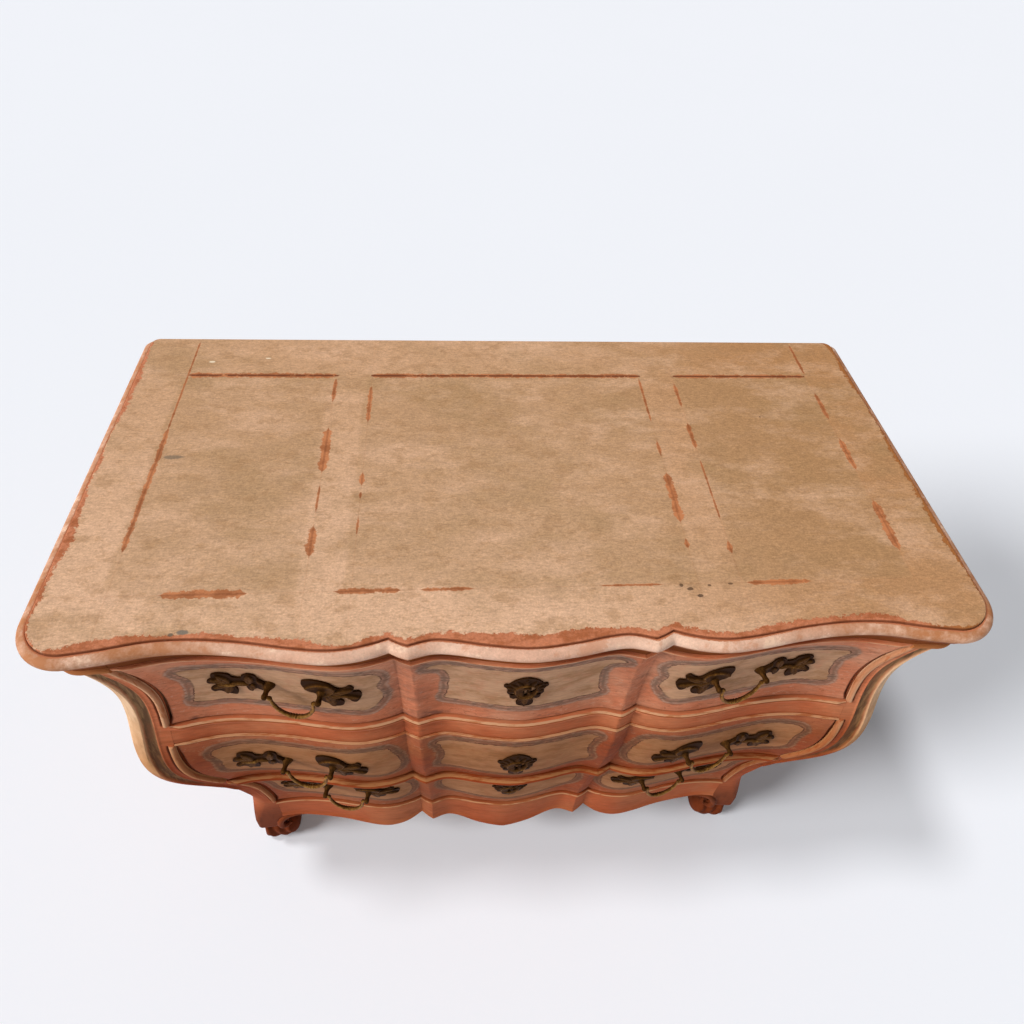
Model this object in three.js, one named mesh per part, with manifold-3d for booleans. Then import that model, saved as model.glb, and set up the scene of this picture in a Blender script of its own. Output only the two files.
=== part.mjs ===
import * as THREE from 'three';
import { mergeVertices } from 'three/addons/utils/BufferGeometryUtils.js';
import Module from 'manifold-3d';

const wasm = await Module();
wasm.setup();

// A painted serpentine commode chest: framed top, bombé carcase, three drawers, bail pulls.
// Lengths are millimetres. X runs right, Y runs to the back, Z runs up, and the floor is z = 0.

// Overall sizes
const width = 1240;
const depth = 635;
const height = 850;

// Clearances
const seatGap = 0.3;
const drawerGap = 2;
const drawerHeadroom = 1.5;
const pinClearance = 0.5;
const cutOverrun = 20;

// Top: a framed slab with a moulded edge
const topThickness = 32;
const topCornerRadius = 64;
const topBackRadius = 12;
const stileWidth = 96;
const backRailWidth = 98;
const frontRailWidth = 101;
const muntinWidth = 58;
const muntinOffset = 256;
const mouldingWidth = 13;
const grooveWidth = 1.6;
const grooveDepth = 5;
const ovoloDrop = 17;

// Plan of the front: a shallow wave with a forward point and a notch on each side
const waveDepth = 25;
const ridgeAtTop = 177;
const ridgeAtApron = 158;
const topOverhang = 22;

// Elevation of the front and of the sides
const tuckDepth = 46;
const bellySetIn = 50;
const postWidth = 73;

// Heights of the fronts; the drawers share what the rails leave, the top drawer first
const apronTop = 213;
const drawerHeightShares = [0.3174, 0.3214, 0.3612];
const upperRailHeight = 47;
const lowerRailHeight = 14;
const friezeHeight = 34;
const coveDepth = 3;

// Rails, apron and their beads
const railDepth = 66;
const apronThickness = 24;
const beadSize = 5;
const fineBeadSize = 3;
const lipReach = 11;
const apronShallow = 126;
const apronLobe = 112;
const apronPendant = 92;
const apronNotch = 138;
const apronBracket = 108;
const apronPointX = 136;

// Posts, legs and feet
const postDepth = 105.5;
const postCorner = 30;
const kneeCorner = 9;
const postWall = 34;
const legSetBack = 85.5;
const legSetIn = 3;
const legDepth = 42;
const legWidth = 49;
const ankleHeight = 62;
const kneeHeight = 88;
const kneeRound = 30;
const rollRadius = 31;
const rollWidth = 66;
const rollTurn = THREE.MathUtils.degToRad(-4);
const rollSetBack = 99.5;
const rollFlat = 2.5;
const rearPostWidth = 56;
const rearPostDepth = 52;
const backOverhang = 17.5;

// Boards
const sidePanelThickness = 20;
const sideFoot = 150;
const sideArch = 36;
const backPanelThickness = 14;
const backPanelFoot = 170;
const dustBoardThickness = 12;
const dustBoardInset = 12;
const boardEndGap = 1.5;

// Drawer boxes
const frontThickness = 20;
const drawerSideThickness = 12;
const drawerBackThickness = 12;
const drawerBottomThickness = 8;
const drawerBottomRise = 10;
const drawerSideDrop = 18;
const drawerBackGap = 20;
const drawerSideGap = 14;

// Pulls and escutcheons
const eyeSpacing = 72;
const eyeProud = 19;
const eyeRadius = 5.5;
const eyeWidth = 6;
const pinRadius = 2.2;
const plateLength = 78;
const plateHeight = 62;
const plateThickness = 3.5;
const postRadius = 4.5;
const bailDrop = 46;
const bailRadius = 3.2;
const bailEndRadius = 2.4;
const bailShoulder = 5;
const escutcheonWidth = 58;
const escutcheonHeight = 72;
const keyholeRadius = 3.4;
const keyholeLength = 13;

// Colours
const paintSand = { color: '#b79b78', roughness: 0.72, metalness: 0 };
const paintCream = { color: '#c8a98a', roughness: 0.7, metalness: 0 };
const paintSalmon = { color: '#b06a4c', roughness: 0.7, metalness: 0 };
const rawWood = { color: '#9a7350', roughness: 0.8, metalness: 0 };
const darkBronze = { color: '#3a2a18', roughness: 0.42, metalness: 0.9 };

// Levels worked out from the heights
const caseTop = height - topThickness;
const friezeFoot = caseTop - friezeHeight;
const railSpace = upperRailHeight + lowerRailHeight;
const drawerSpace = friezeFoot - apronTop - railSpace - 2 * drawerHeightShares.length * drawerHeadroom;
const drawerHeights = drawerHeightShares.map((share) => share * drawerSpace);
const lowerRailFoot = apronTop + drawerHeights[2] + 2 * drawerHeadroom;
const lowerRailTop = lowerRailFoot + lowerRailHeight;
const upperRailFoot = lowerRailTop + drawerHeights[1] + 2 * drawerHeadroom;
const upperRailTop = upperRailFoot + upperRailHeight;
const drawerFeet = [upperRailTop, lowerRailTop, apronTop];

// Places worked out from the width and the depth
const bellyHalf = width / 2 - bellySetIn;
const openingHalf = bellyHalf - postWidth;
const frontLine = -depth / 2 + topOverhang;
const railBack = frontLine + railDepth;
const apronBack = frontLine + tuckDepth + waveDepth + apronThickness;
const postBack = frontLine + postDepth;
const legFront = frontLine + legSetBack;
const legBack = legFront + legDepth;
const caseBack = depth / 2 - backOverhang;

// Shapes of the curves, as shares of the sizes they follow.
// Wave: [distance from the centre / ridge distance, set-back / waveDepth].
const waveCentreShares = [[0, 0], [0.3, 0.22], [0.56, 0.56], [0.7, 0.62], [0.87, 0.34]];
const waveStepShares = [[0.87, 0.34], [0.93, 0.5], [1, 0.76]];
const waveOuterShares = [
  [1, 0.76], [1.1, 0.52], [1.25, 0.28], [1.42, 0.2], [1.65, 0.38], [1.98, 0.78],
  [2.31, 1], [2.6, 0.94], [2.9, 0.56], [3.15, 0.32], [3.35, 0.26],
];
// Front: [level / caseTop, set-back / tuckDepth].
const frontShares = [
  [0.12, 1], [0.26, 0.94], [0.34, 0.76], [0.43, 0.48], [0.505, 0.17], [0.575, -0.04], [0.635, -0.11],
  [0.7, -0.04], [0.78, 0.15], [0.855, 0.2], [0.93, 0.11], [0.973, 0], [1, -0.2],
];
// Opening between the posts: [level / caseTop, half width / openingHalf].
const openingShares = [
  [0.26, 0.849], [0.34, 0.855], [0.4, 0.866], [0.465, 0.899], [0.505, 0.928], [0.57, 0.979],
  [0.61, 0.995], [0.655, 1], [0.7, 0.998], [0.76, 0.992], [0.83, 0.985], [0.87, 0.99],
  [0.91, 1.007], [0.945, 1.031], [0.973, 1.047], [1, 1.058],
];
// Side: [level / caseTop, half width / bellyHalf].
const sideShares = [
  [0.1, 0.842], [0.17, 0.838], [0.26, 0.83], [0.34, 0.846], [0.38, 0.861], [0.415, 0.888],
  [0.45, 0.92], [0.49, 0.955], [0.525, 0.98], [0.565, 0.995], [0.61, 1], [0.67, 0.995],
  [0.735, 0.984], [0.785, 0.977], [0.83, 0.975], [0.875, 0.982], [0.92, 0.999], [0.955, 1.02],
  [0.985, 1.043], [1, 1.052],
];

// Pulls: distance from the middle / openingHalf, and level on the drawer / its height, drawer by drawer.
const leftPullShares = [0.628, 0.644, 0.5675];
const rightPullShares = [0.6095, 0.618, 0.5515];
const pullLevelShares = [0.5566, 0.525, 0.594];

// A cubic through the rows of a table of [place, value], level past its ends.
function through(table, place) {
  const last = table.length - 1;
  if (place <= table[0][0]) return table[0][1];
  if (place >= table[last][0]) return table[last][1];
  const at = table.findIndex((row) => row[0] > place) - 1;
  const slope = (i) => {
    const before = table[Math.max(i - 1, 0)];
    const after = table[Math.min(i + 1, last)];
    return (after[1] - before[1]) / (after[0] - before[0]);
  };
  const [p0, v0] = table[at];
  const [p1, v1] = table[at + 1];
  const span = p1 - p0;
  const t = (place - p0) / span;
  const t2 = t * t;
  const t3 = t2 * t;
  return (2 * t3 - 3 * t2 + 1) * v0 + (t3 - 2 * t2 + t) * span * slope(at)
    + (3 * t2 - 2 * t3) * v1 + (t3 - t2) * span * slope(at + 1);
}

// Set-back of the plan wave at x, where the notch stands at `ridge`.
function wave(x, ridge) {
  const place = Math.abs(x) / ridge;
  if (place < waveStepShares[0][0]) return waveDepth * through(waveCentreShares, place);
  if (place < 1) return waveDepth * through(waveStepShares, place);
  return waveDepth * through(waveOuterShares, place);
}

function ridgeAt(z) {
  return ridgeAtApron + (ridgeAtTop - ridgeAtApron) * (z - apronTop) / (height - apronTop);
}

function frontY(x, z) {
  return frontLine + tuckDepth * through(frontShares, z / caseTop) + wave(x, ridgeAt(z));
}

function openingAt(z) {
  return openingHalf * through(openingShares, z / caseTop);
}

function sideAt(z) {
  return bellyHalf * through(sideShares, z / caseTop);
}

const legOuter = sideAt(0) - legSetIn;
const legInner = legOuter - legWidth;

// Levels that the posts, sides and back share, from the top down
const drawerRowShares = [0, 0.2, 0.4, 0.6, 0.8, 1];
const legShares = [0.22, 0.18, 0.15];

function drawerRows(number) {
  const low = drawerFeet[number] + drawerHeadroom;
  return drawerRowShares.map((share) => low + share * drawerHeights[number]);
}

const caseLevels = [
  caseTop, friezeFoot, ...drawerRows(0).slice(1, -1).reverse(),
  upperRailTop, upperRailFoot, ...drawerRows(1).slice(1, -1).reverse(),
  lowerRailTop, lowerRailFoot, ...drawerRows(2).slice(1, -1).reverse(),
  apronTop, ...legShares.map((share) => share * caseTop),
];

// Stations across the front: up to 1 they follow the notch, and from 1 to 2 they run to the end.
const centreStations = [0, 0.2, 0.4, 0.56, 0.72, 0.87, 1];
const outerStations = [1.06, 1.14, 1.26, 1.38, 1.5, 1.62, 1.74, 1.87, 2];
const halfStations = [...centreStations, ...outerStations];
const stations = [...halfStations.slice(1).reverse().map((s) => -s), ...halfStations];

function stationX(station, z, half) {
  const size = Math.abs(station);
  const ridge = ridgeAt(z);
  const x = size <= 1 ? size * ridge : ridge + (size - 1) * (half - ridge);
  return Math.sign(station) * x;
}

// Faces that close a ring whose points pair up from its two ends inwards.
function pairedFaces(ring) {
  const count = ring.length;
  const faces = [];
  for (let i = 0; i < count / 2 - 1; i += 1) {
    faces.push([i, i + 1, count - 2 - i], [i, count - 2 - i, count - 1 - i]);
  }
  return faces;
}

function flatFaces(ring) {
  return THREE.ShapeUtils.triangulateShape(ring, []);
}

// A closed solid through rings of points, with its ends filled across the two given axes.
function loft(sections, across, along, endFaces = flatFaces) {
  const flatten = (ring) => ring.map((p) => new THREE.Vector2(p[across], p[along]));
  const clockwise = THREE.ShapeUtils.area(flatten(sections[0])) < 0;
  const rings = clockwise ? sections.map((ring) => [...ring].reverse()) : sections;
  const count = rings[0].length;
  const index = [];
  for (let row = 0; row < rings.length - 1; row += 1) {
    for (let column = 0; column < count; column += 1) {
      const a = row * count + column;
      const b = row * count + (column + 1) % count;
      index.push(a, b, a + count, b, b + count, a + count);
    }
  }
  const last = rings.length - 1;
  for (const [a, b, c] of endFaces(flatten(rings[0]))) index.push(a, c, b);
  for (const face of endFaces(flatten(rings[last]))) index.push(...face.map((i) => last * count + i));
  const geometry = new THREE.BufferGeometry();
  const positions = rings.flat().flatMap((p) => [p.x, p.y, p.z]);
  geometry.setAttribute('position', new THREE.Float32BufferAttribute(positions, 3));
  geometry.setIndex(faceOutwards(positions, index));
  return geometry;
}

function faceOutwards(positions, index) {
  let volume = 0;
  const corner = (i) => new THREE.Vector3().fromArray(positions, 3 * i);
  for (let i = 0; i < index.length; i += 3) {
    const [a, b, c] = [corner(index[i]), corner(index[i + 1]), corner(index[i + 2])];
    volume += a.dot(b.cross(c));
  }
  return volume < 0 ? index.slice().reverse() : index;
}

// Solids that are joined or cut
function toSolid(geometry) {
  const bare = geometry.clone();
  bare.deleteAttribute('normal');
  bare.deleteAttribute('uv');
  const merged = mergeVertices(bare);
  const triVerts = new Uint32Array(merged.index.array);
  const vertProperties = new Float32Array(merged.attributes.position.array);
  return new wasm.Manifold(new wasm.Mesh({ numProp: 3, vertProperties, triVerts }));
}

function toGeometry(solid) {
  const mesh = solid.getMesh();
  const geometry = new THREE.BufferGeometry();
  geometry.setAttribute('position', new THREE.BufferAttribute(mesh.vertProperties, 3));
  geometry.setIndex(new THREE.BufferAttribute(mesh.triVerts, 1));
  return geometry;
}

function box(x0, x1, y0, y1, z0, z1) {
  const geometry = new THREE.BoxGeometry(x1 - x0, y1 - y0, z1 - z0);
  return geometry.translate((x0 + x1) / 2, (y0 + y1) / 2, (z0 + z1) / 2);
}

function mirrored(geometry) {
  const turned = geometry.clone().applyMatrix4(new THREE.Matrix4().makeScale(-1, 1, 1));
  const index = Array.from(turned.index.array).reverse();
  turned.setIndex(index);
  return turned;
}

const commode = new THREE.Group();

function place(name, geometry, finish, parent = commode) {
  const mesh = new THREE.Mesh(geometry, new THREE.MeshStandardMaterial(finish));
  mesh.name = name;
  parent.add(mesh);
}

// Top
function topOutline(inset) {
  const half = width / 2;
  const cornerX = half - topCornerRadius;
  const cornerY = -depth / 2 + wave(cornerX, ridgeAtTop) + topCornerRadius;
  const back = depth / 2 - topBackRadius;
  const points = stations.map((s) => {
    const x = stationX(s, height, cornerX);
    return [x, -depth / 2 + wave(x, ridgeAtTop) + inset];
  });
  const arc = (x, y, radius, from, to, steps) => {
    for (let i = 1; i <= steps; i += 1) {
      const angle = from + (to - from) * i / steps;
      points.push([x + radius * Math.cos(angle), y + radius * Math.sin(angle)]);
    }
  };
  const quarter = Math.PI / 2;
  arc(cornerX, cornerY, topCornerRadius - inset, -quarter, 0, 6);
  const backX = half - inset - topBackRadius;
  points.push([half - inset, back]);
  arc(backX, back, topBackRadius, 0, quarter, 3);
  points.push([-backX, back + topBackRadius]);
  arc(-backX, back, topBackRadius, quarter, 2 * quarter, 3);
  points.push([-cornerX - topCornerRadius + inset, cornerY]);
  arc(-cornerX, cornerY, topCornerRadius - inset, 2 * quarter, 3 * quarter - quarter / 6, 5);
  return points;
}

function topSlab() {
  const under = mouldingWidth * 0.75;
  const nose = height - ovoloDrop;
  const shoulder = height - grooveDepth;
  const rows = [
    [under, caseTop + seatGap],
    [mouldingWidth * 0.25, nose - ovoloDrop * 0.55],
    [0, nose],
    [mouldingWidth * 0.14, nose + (shoulder - nose) * 0.55],
    [mouldingWidth * 0.45, nose + (shoulder - nose) * 0.88],
    [mouldingWidth, shoulder],
    [mouldingWidth + grooveWidth * 0.4, shoulder],
    [mouldingWidth + grooveWidth, height],
  ];
  const rings = rows.map(([inset, z]) => topOutline(inset).map(([x, y]) => new THREE.Vector3(x, y, z)));
  return toSolid(loft(rings, 'x', 'y'));
}

function buildTop() {
  const slab = topSlab();
  const half = width / 2 + cutOverrun;
  const stileX = width / 2 - stileWidth;
  const backJoint = depth / 2 - backRailWidth;
  const frontJoint = -depth / 2 + frontRailWidth;
  const front = -depth / 2 - cutOverrun;
  const back = depth / 2 + cutOverrun;
  const inner = muntinOffset - muntinWidth / 2;
  const outer = muntinOffset + muntinWidth / 2;
  const g = seatGap / 2;
  const pieces = {
    top_stile_left: [-half, -stileX - g, front, back],
    top_stile_right: [stileX + g, half, front, back],
    top_rail_back: [-stileX + g, stileX - g, backJoint + g, back],
    top_rail_front: [-stileX + g, stileX - g, front, frontJoint - g],
    top_muntin_left: [-outer + g, -inner - g, frontJoint + g, backJoint - g],
    top_muntin_right: [inner + g, outer - g, frontJoint + g, backJoint - g],
    top_panel_left: [-stileX + g, -outer - g, frontJoint + g, backJoint - g],
    top_panel_centre: [-inner + g, inner - g, frontJoint + g, backJoint - g],
    top_panel_right: [outer + g, stileX - g, frontJoint + g, backJoint - g],
  };
  for (const [name, [x0, x1, y0, y1]] of Object.entries(pieces)) {
    const cutter = toSolid(box(x0, x1, y0, y1, caseTop - cutOverrun, height + cutOverrun));
    place(name, toGeometry(slab.intersect(cutter)), paintSand);
  }
}

// Rails and apron: a section that follows the front, carried from post to post
function crossPiece(section, backY) {
  const low = section[0][1];
  const high = section[section.length - 1][1];
  const endAt = (z) => {
    const share = (z - low) / (high - low);
    return openingAt(low) + (openingAt(high) - openingAt(low)) * share + drawerGap - seatGap;
  };
  const rings = stations.map((station) => {
    const front = section.map(([reach, z]) => {
      const x = stationX(station, z, endAt(z));
      return new THREE.Vector3(x, frontY(x, z) - reach, z);
    });
    const back = [high, low].map((z) => new THREE.Vector3(stationX(station, z, endAt(z)), backY, z));
    return [...front, ...back];
  });
  return loft(rings, 'y', 'z');
}

function buildRails() {
  const frieze = [
    [0, friezeFoot], [beadSize * 0.8, friezeFoot + beadSize * 0.25],
    [beadSize * 0.8, friezeFoot + beadSize * 0.85], [-coveDepth * 0.5, friezeFoot + beadSize * 1.2],
    [-coveDepth, friezeFoot + friezeHeight * 0.45], [-coveDepth * 0.5, friezeFoot + friezeHeight * 0.75],
    [0, caseTop],
  ];
  place('frieze_rail', crossPiece(frieze, railBack), paintSalmon);
  const upper = [
    [0, upperRailFoot], [fineBeadSize, upperRailFoot + fineBeadSize / 2], [0, upperRailFoot + fineBeadSize],
    [0, upperRailTop - 2 * beadSize], [beadSize, upperRailTop - 1.7 * beadSize],
    [1.3 * beadSize, upperRailTop - beadSize], [0.8 * beadSize, upperRailTop - 0.3 * beadSize],
    [0, upperRailTop],
  ];
  place('upper_rail', crossPiece(upper, railBack), paintSalmon);
  const lower = [
    [0, lowerRailFoot], [lipReach * 0.75, lowerRailFoot + lowerRailHeight * 0.2],
    [lipReach, lowerRailFoot + lowerRailHeight * 0.55],
    [lipReach * 0.6, lowerRailTop - lowerRailHeight * 0.1], [0, lowerRailTop],
  ];
  place('lower_rail', crossPiece(lower, railBack), paintCream);
}

// Lower edge of the apron: [place / its half width, level].
function apronEdge(x, half) {
  const point = apronPointX / half;
  const notch = ridgeAtApron / half;
  const size = Math.abs(x) / half;
  const middle = [
    [0, apronPendant], [point * 0.35, apronPendant + (apronShallow - apronPendant) * 0.35],
    [point * 0.72, apronShallow], [point, apronShallow - (apronNotch - apronShallow) * 0.2],
  ];
  const side = [
    [0, apronNotch], [0.11, apronShallow - (apronShallow - apronLobe) * 0.5], [0.27, apronLobe],
    [0.51, apronShallow - (apronShallow - apronLobe) * 0.3], [0.68, apronShallow],
    [0.87, apronShallow - (apronShallow - apronBracket) * 0.1], [1, apronBracket],
  ];
  if (size <= point) return through(middle, size);
  if (size >= notch) return through(side, (size - notch) / (1 - notch));
  const share = (size - point) / (notch - point);
  return middle[3][1] + (apronNotch - middle[3][1]) * share;
}

function buildApron() {
  const half = openingAt(apronTop) + drawerGap - seatGap;
  const topRows = [
    [0, apronTop], [beadSize * 0.8, apronTop - beadSize * 0.5],
    [beadSize, apronTop - beadSize], [0, apronTop - 1.8 * beadSize],
  ];
  const pointStation = apronPointX / ridgeAtApron;
  const centre = [0, 0.22, 0.44, 0.62, 0.78, pointStation, 1];
  const outer = [1.05, 1.12, 1.2, 1.32, 1.44, 1.56, 1.7, 1.84, 1.93, 2];
  const places = [...centre, ...outer];
  const rings = [...places.slice(1).reverse().map((s) => -s), ...places].map((station) => {
    const x = stationX(station, apronTop, half);
    const edge = apronEdge(x, half);
    const middle = (apronTop + edge) / 2;
    const rows = [...topRows, [0, middle], [0, edge]];
    const front = rows.map(([reach, z]) => new THREE.Vector3(x, frontY(x, apronTop) - reach, z));
    const back = [edge, apronTop].map((z) => new THREE.Vector3(x, apronBack, z));
    return [...front, ...back];
  });
  place('apron', loft(rings, 'y', 'z'), paintSalmon);
}

// Front posts: sections from the knee up, then a leg and a rolled foot.
// A section runs from the drawer's edge round the front corner to the side and the back.
function cornered(inner, outer, innerFront, front, corner) {
  return [
    [inner, innerFront], [outer - corner, front], [outer - corner * 0.55, front + corner * 0.14],
    [outer - corner * 0.2, front + corner * 0.45], [outer, front + corner],
  ];
}

function cornerAt(z) {
  const share = (z - kneeHeight - kneeRound) / (apronTop - kneeHeight - kneeRound);
  return kneeCorner + (postCorner - kneeCorner) * Math.min(Math.max(share, 0), 1);
}

function postSection(z) {
  const inner = openingAt(z) + drawerGap;
  const outer = sideAt(z);
  const innerFront = frontY(inner, z);
  const corner = Math.min(cornerAt(z), (outer - inner) * 0.6);
  const front = innerFront + (frontY(outer - corner, z) - innerFront) * 0.5;
  const points = [
    ...cornered(inner, outer, innerFront, front, corner), [outer, postBack],
    [outer - postWall, postBack], [inner, Math.max(postBack - postWall, front + corner)],
  ];
  return points.map(([x, y]) => new THREE.Vector3(x, y, z));
}

function legSection(z, share) {
  const blend = (high, low) => low + (high - low) * share;
  const high = postSection(kneeHeight + kneeRound);
  const low = [
    ...cornered(legInner, legOuter, legFront, legFront, kneeCorner), [legOuter, legBack],
    [legOuter - postWall, legBack], [legInner, legBack],
  ];
  return high.map((p, i) => new THREE.Vector3(blend(p.x, low[i][0]), blend(p.y, low[i][1]), z));
}

// The roll of the foot: rounded at its ends, and flat where it stands
function rollGeometry() {
  const sides = 14;
  const sectionShares = [[-0.5, 0.6], [-0.42, 0.86], [-0.2, 1], [0.32, 1], [0.5, 0.88]];
  const rings = sectionShares.map(([along, size]) => {
    const ring = [];
    for (let i = 0; i < sides; i += 1) {
      const angle = 2 * Math.PI * i / sides;
      const y = rollRadius * (size * Math.cos(angle) + (1 - size) * 0.6);
      const z = Math.max(rollRadius * (size * Math.sin(angle) + 1) - rollFlat, 0);
      ring.push(new THREE.Vector3(along * rollWidth, y, z));
    }
    return ring;
  });
  const roll = loft(rings, 'y', 'z').rotateZ(rollTurn);
  return roll.translate(legOuter - rollWidth / 2, frontLine + rollSetBack, 0);
}

function frontPost() {
  const legSteps = [[1, 1], [0.6, 0.85], [0.25, 0.5], [0, 0.15]];
  const rings = [
    ...caseLevels.map(postSection),
    ...legSteps.map(([rise, share]) => legSection(ankleHeight + (kneeHeight - ankleHeight) * rise, share)),
    legSection(ankleHeight / 2, 0),
  ];
  const shaft = toSolid(loft(rings, 'x', 'y'));
  return toGeometry(shaft.add(toSolid(rollGeometry())));
}

// Rear posts: they follow the side and stand square on the floor
function rearPost() {
  const rings = [...caseLevels, kneeHeight, 0].map((z) => {
    const outer = sideAt(z);
    const points = [
      [outer, caseBack - rearPostDepth], [outer, caseBack],
      [outer - rearPostWidth, caseBack], [outer - rearPostWidth, caseBack - rearPostDepth],
    ];
    return points.map(([x, y]) => new THREE.Vector3(x, y, z));
  });
  return loft(rings, 'x', 'y');
}

// Side panels: bowed boards between the posts, arched at the foot
function sidePanel() {
  const front = postBack + seatGap;
  const back = caseBack - rearPostDepth - seatGap;
  const rows = caseLevels.filter((z) => z > sideFoot + sideArch);
  const alongShares = [0, 0.25, 0.5, 0.75, 1];
  const rings = alongShares.map((share) => {
    const y = front + (back - front) * share;
    const foot = sideFoot + sideArch * Math.sin(Math.PI * share);
    const levels = [...rows, foot];
    const outside = levels.map((z) => new THREE.Vector3(sideAt(z), y, z));
    const inside = levels.map((z) => new THREE.Vector3(sideAt(z) - sidePanelThickness, y, z)).reverse();
    return [...outside, ...inside];
  });
  return loft(rings, 'x', 'z');
}

function backPanel() {
  const inner = caseBack - backPanelThickness;
  const rows = [...caseLevels.filter((z) => z > backPanelFoot), backPanelFoot];
  const rings = rows.map((z) => {
    const half = sideAt(z) - rearPostWidth - seatGap;
    const points = [[-half, inner], [half, inner], [half, caseBack], [-half, caseBack]];
    return points.map(([x, y]) => new THREE.Vector3(x, y, z));
  });
  return loft(rings, 'x', 'y');
}

// Level boards that the drawers run on
function runningBoard(boardTop, frontEdge) {
  const low = boardTop - dustBoardThickness;
  const between = Math.min(openingAt(low), openingAt(boardTop)) - dustBoardInset;
  const wide = Math.min(sideAt(low), sideAt(boardTop)) - sidePanelThickness - boardEndGap;
  const rear = Math.min(sideAt(low), sideAt(boardTop)) - rearPostWidth - boardEndGap;
  const behindPost = postBack + seatGap;
  const behindRear = caseBack - rearPostDepth - seatGap;
  const back = caseBack - backPanelThickness - seatGap;
  const outline = [
    [between, frontEdge], [between, behindPost], [wide, behindPost], [wide, behindRear], [rear, behindRear],
    [rear, back], [-rear, back], [-rear, behindRear], [-wide, behindRear], [-wide, behindPost],
    [-between, behindPost], [-between, frontEdge],
  ];
  const shape = new THREE.Shape(outline.map(([x, y]) => new THREE.Vector2(x, y)));
  const board = new THREE.ExtrudeGeometry(shape, { depth: dustBoardThickness, bevelEnabled: false });
  return board.translate(0, 0, low);
}

function buildCarcase() {
  const post = frontPost();
  place('front_post_right', post, paintCream);
  place('front_post_left', mirrored(post), paintCream);
  const rear = rearPost();
  place('rear_post_right', rear, paintCream);
  place('rear_post_left', mirrored(rear), paintCream);
  const side = sidePanel();
  place('side_panel_right', side, paintCream);
  place('side_panel_left', mirrored(side), paintCream);
  place('back_panel', backPanel(), rawWood);
  place('upper_dust_board', runningBoard(upperRailTop, railBack + seatGap), rawWood);
  place('lower_dust_board', runningBoard(lowerRailTop, railBack + seatGap), rawWood);
  place('bottom_board', runningBoard(apronTop, apronBack + seatGap), rawWood);
}

// Drawers
function drawerFrontGeometry(number) {
  const rows = drawerRows(number);
  const backLine = frontLine + waveDepth + frontThickness;
  const backAt = (z) => backLine + tuckDepth * through(frontShares, z / caseTop);
  const rings = stations.map((station) => {
    const front = rows.map((z) => {
      const x = stationX(station, z, openingAt(z));
      return new THREE.Vector3(x, frontY(x, z), z);
    });
    const back = [...rows].reverse().map((z) => {
      return new THREE.Vector3(stationX(station, z, openingAt(z)), backAt(z), z);
    });
    return [...front, ...back];
  });
  return { geometry: loft(rings, 'y', 'z', pairedFaces), rows, backAt };
}

// A board in the plane across Y and Z, from x0 to x1
function upright(outline, x0, x1) {
  const ringAt = (x) => outline.map(([y, z]) => new THREE.Vector3(x, y, z));
  return loft([ringAt(x0), ringAt(x1)], 'y', 'z');
}

function buildDrawer(number) {
  const name = `drawer_${number + 1}`;
  const { geometry, rows, backAt } = drawerFrontGeometry(number);
  place(`${name}_front`, geometry, paintSalmon);
  const half = Math.min(...rows.map(openingAt)) - drawerSideGap;
  const foot = drawerFeet[number] + seatGap;
  const sideTop = rows[rows.length - 1] - drawerSideDrop;
  const back = caseBack - backPanelThickness - drawerBackGap;
  const levels = [foot, ...rows.filter((z) => z > foot && z < sideTop), sideTop];
  const edge = levels.map((z) => [backAt(Math.max(z, rows[0])) + seatGap, z]);
  const outline = [...edge, [back, sideTop], [back, foot]];
  place(`${name}_side_right`, upright(outline, half - drawerSideThickness, half), rawWood);
  place(`${name}_side_left`, upright(outline, -half, -half + drawerSideThickness), rawWood);
  const inside = half - drawerSideThickness - seatGap;
  const floorLow = foot + drawerBottomRise;
  const floorHigh = floorLow + drawerBottomThickness;
  const bottomFront = Math.max(backAt(floorLow), backAt(floorHigh)) + seatGap;
  place(`${name}_bottom`, box(-inside, inside, bottomFront, back, floorLow, floorHigh), rawWood);
  const rear = box(-inside, inside, back - drawerBackThickness, back, floorHigh + seatGap, sideTop);
  place(`${name}_back`, rear, rawWood);
  return toSolid(geometry);
}

// Hardware outlines, as shares of the plate's length and height.
// Leaf plate: it grows outwards from the eye.
const leafShares = [
  [-0.04, -0.05], [0.0, 0.12], [0.1, 0.28], [0.14, 0.46], [0.26, 0.5], [0.36, 0.4], [0.4, 0.3], [0.53, 0.32],
  [0.57, 0.44], [0.72, 0.5], [0.86, 0.44], [0.89, 0.28], [0.98, 0.14], [0.97, 0.03], [0.84, -0.02],
  [0.97, -0.2], [0.93, -0.33], [0.83, -0.31], [0.7, -0.42], [0.56, -0.46], [0.52, -0.28], [0.54, -0.1],
  [0.38, -0.02], [0.34, -0.24], [0.27, -0.3], [0.2, -0.16], [0.08, -0.24], [-0.01, -0.2],
];
// Shell plate: an oval over the eye, with a leafy tail.
const shellShares = [
  [-0.28, 0.36], [-0.23, 0.5], [-0.04, 0.56], [0.18, 0.45], [0.32, 0.22], [0.44, 0.24], [0.53, 0.34],
  [0.6, 0.22], [0.57, 0.06], [0.68, 0.04], [0.71, -0.16], [0.62, -0.4], [0.52, -0.36], [0.44, -0.17],
  [0.28, -0.2], [0.39, -0.36], [0.37, -0.52], [0.23, -0.58], [0.1, -0.48], [-0.04, -0.34], [-0.08, -0.06],
  [-0.2, 0.02], [-0.27, 0.18],
];
// Right half of the escutcheon, from its crown down.
const escutcheonShares = [
  [0, 0.47], [0.14, 0.45], [0.28, 0.36], [0.4, 0.25], [0.5, 0.22], [0.44, 0.04], [0.4, -0.1],
  [0.28, -0.2], [0.2, -0.3], [0.15, -0.47],
];

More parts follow.
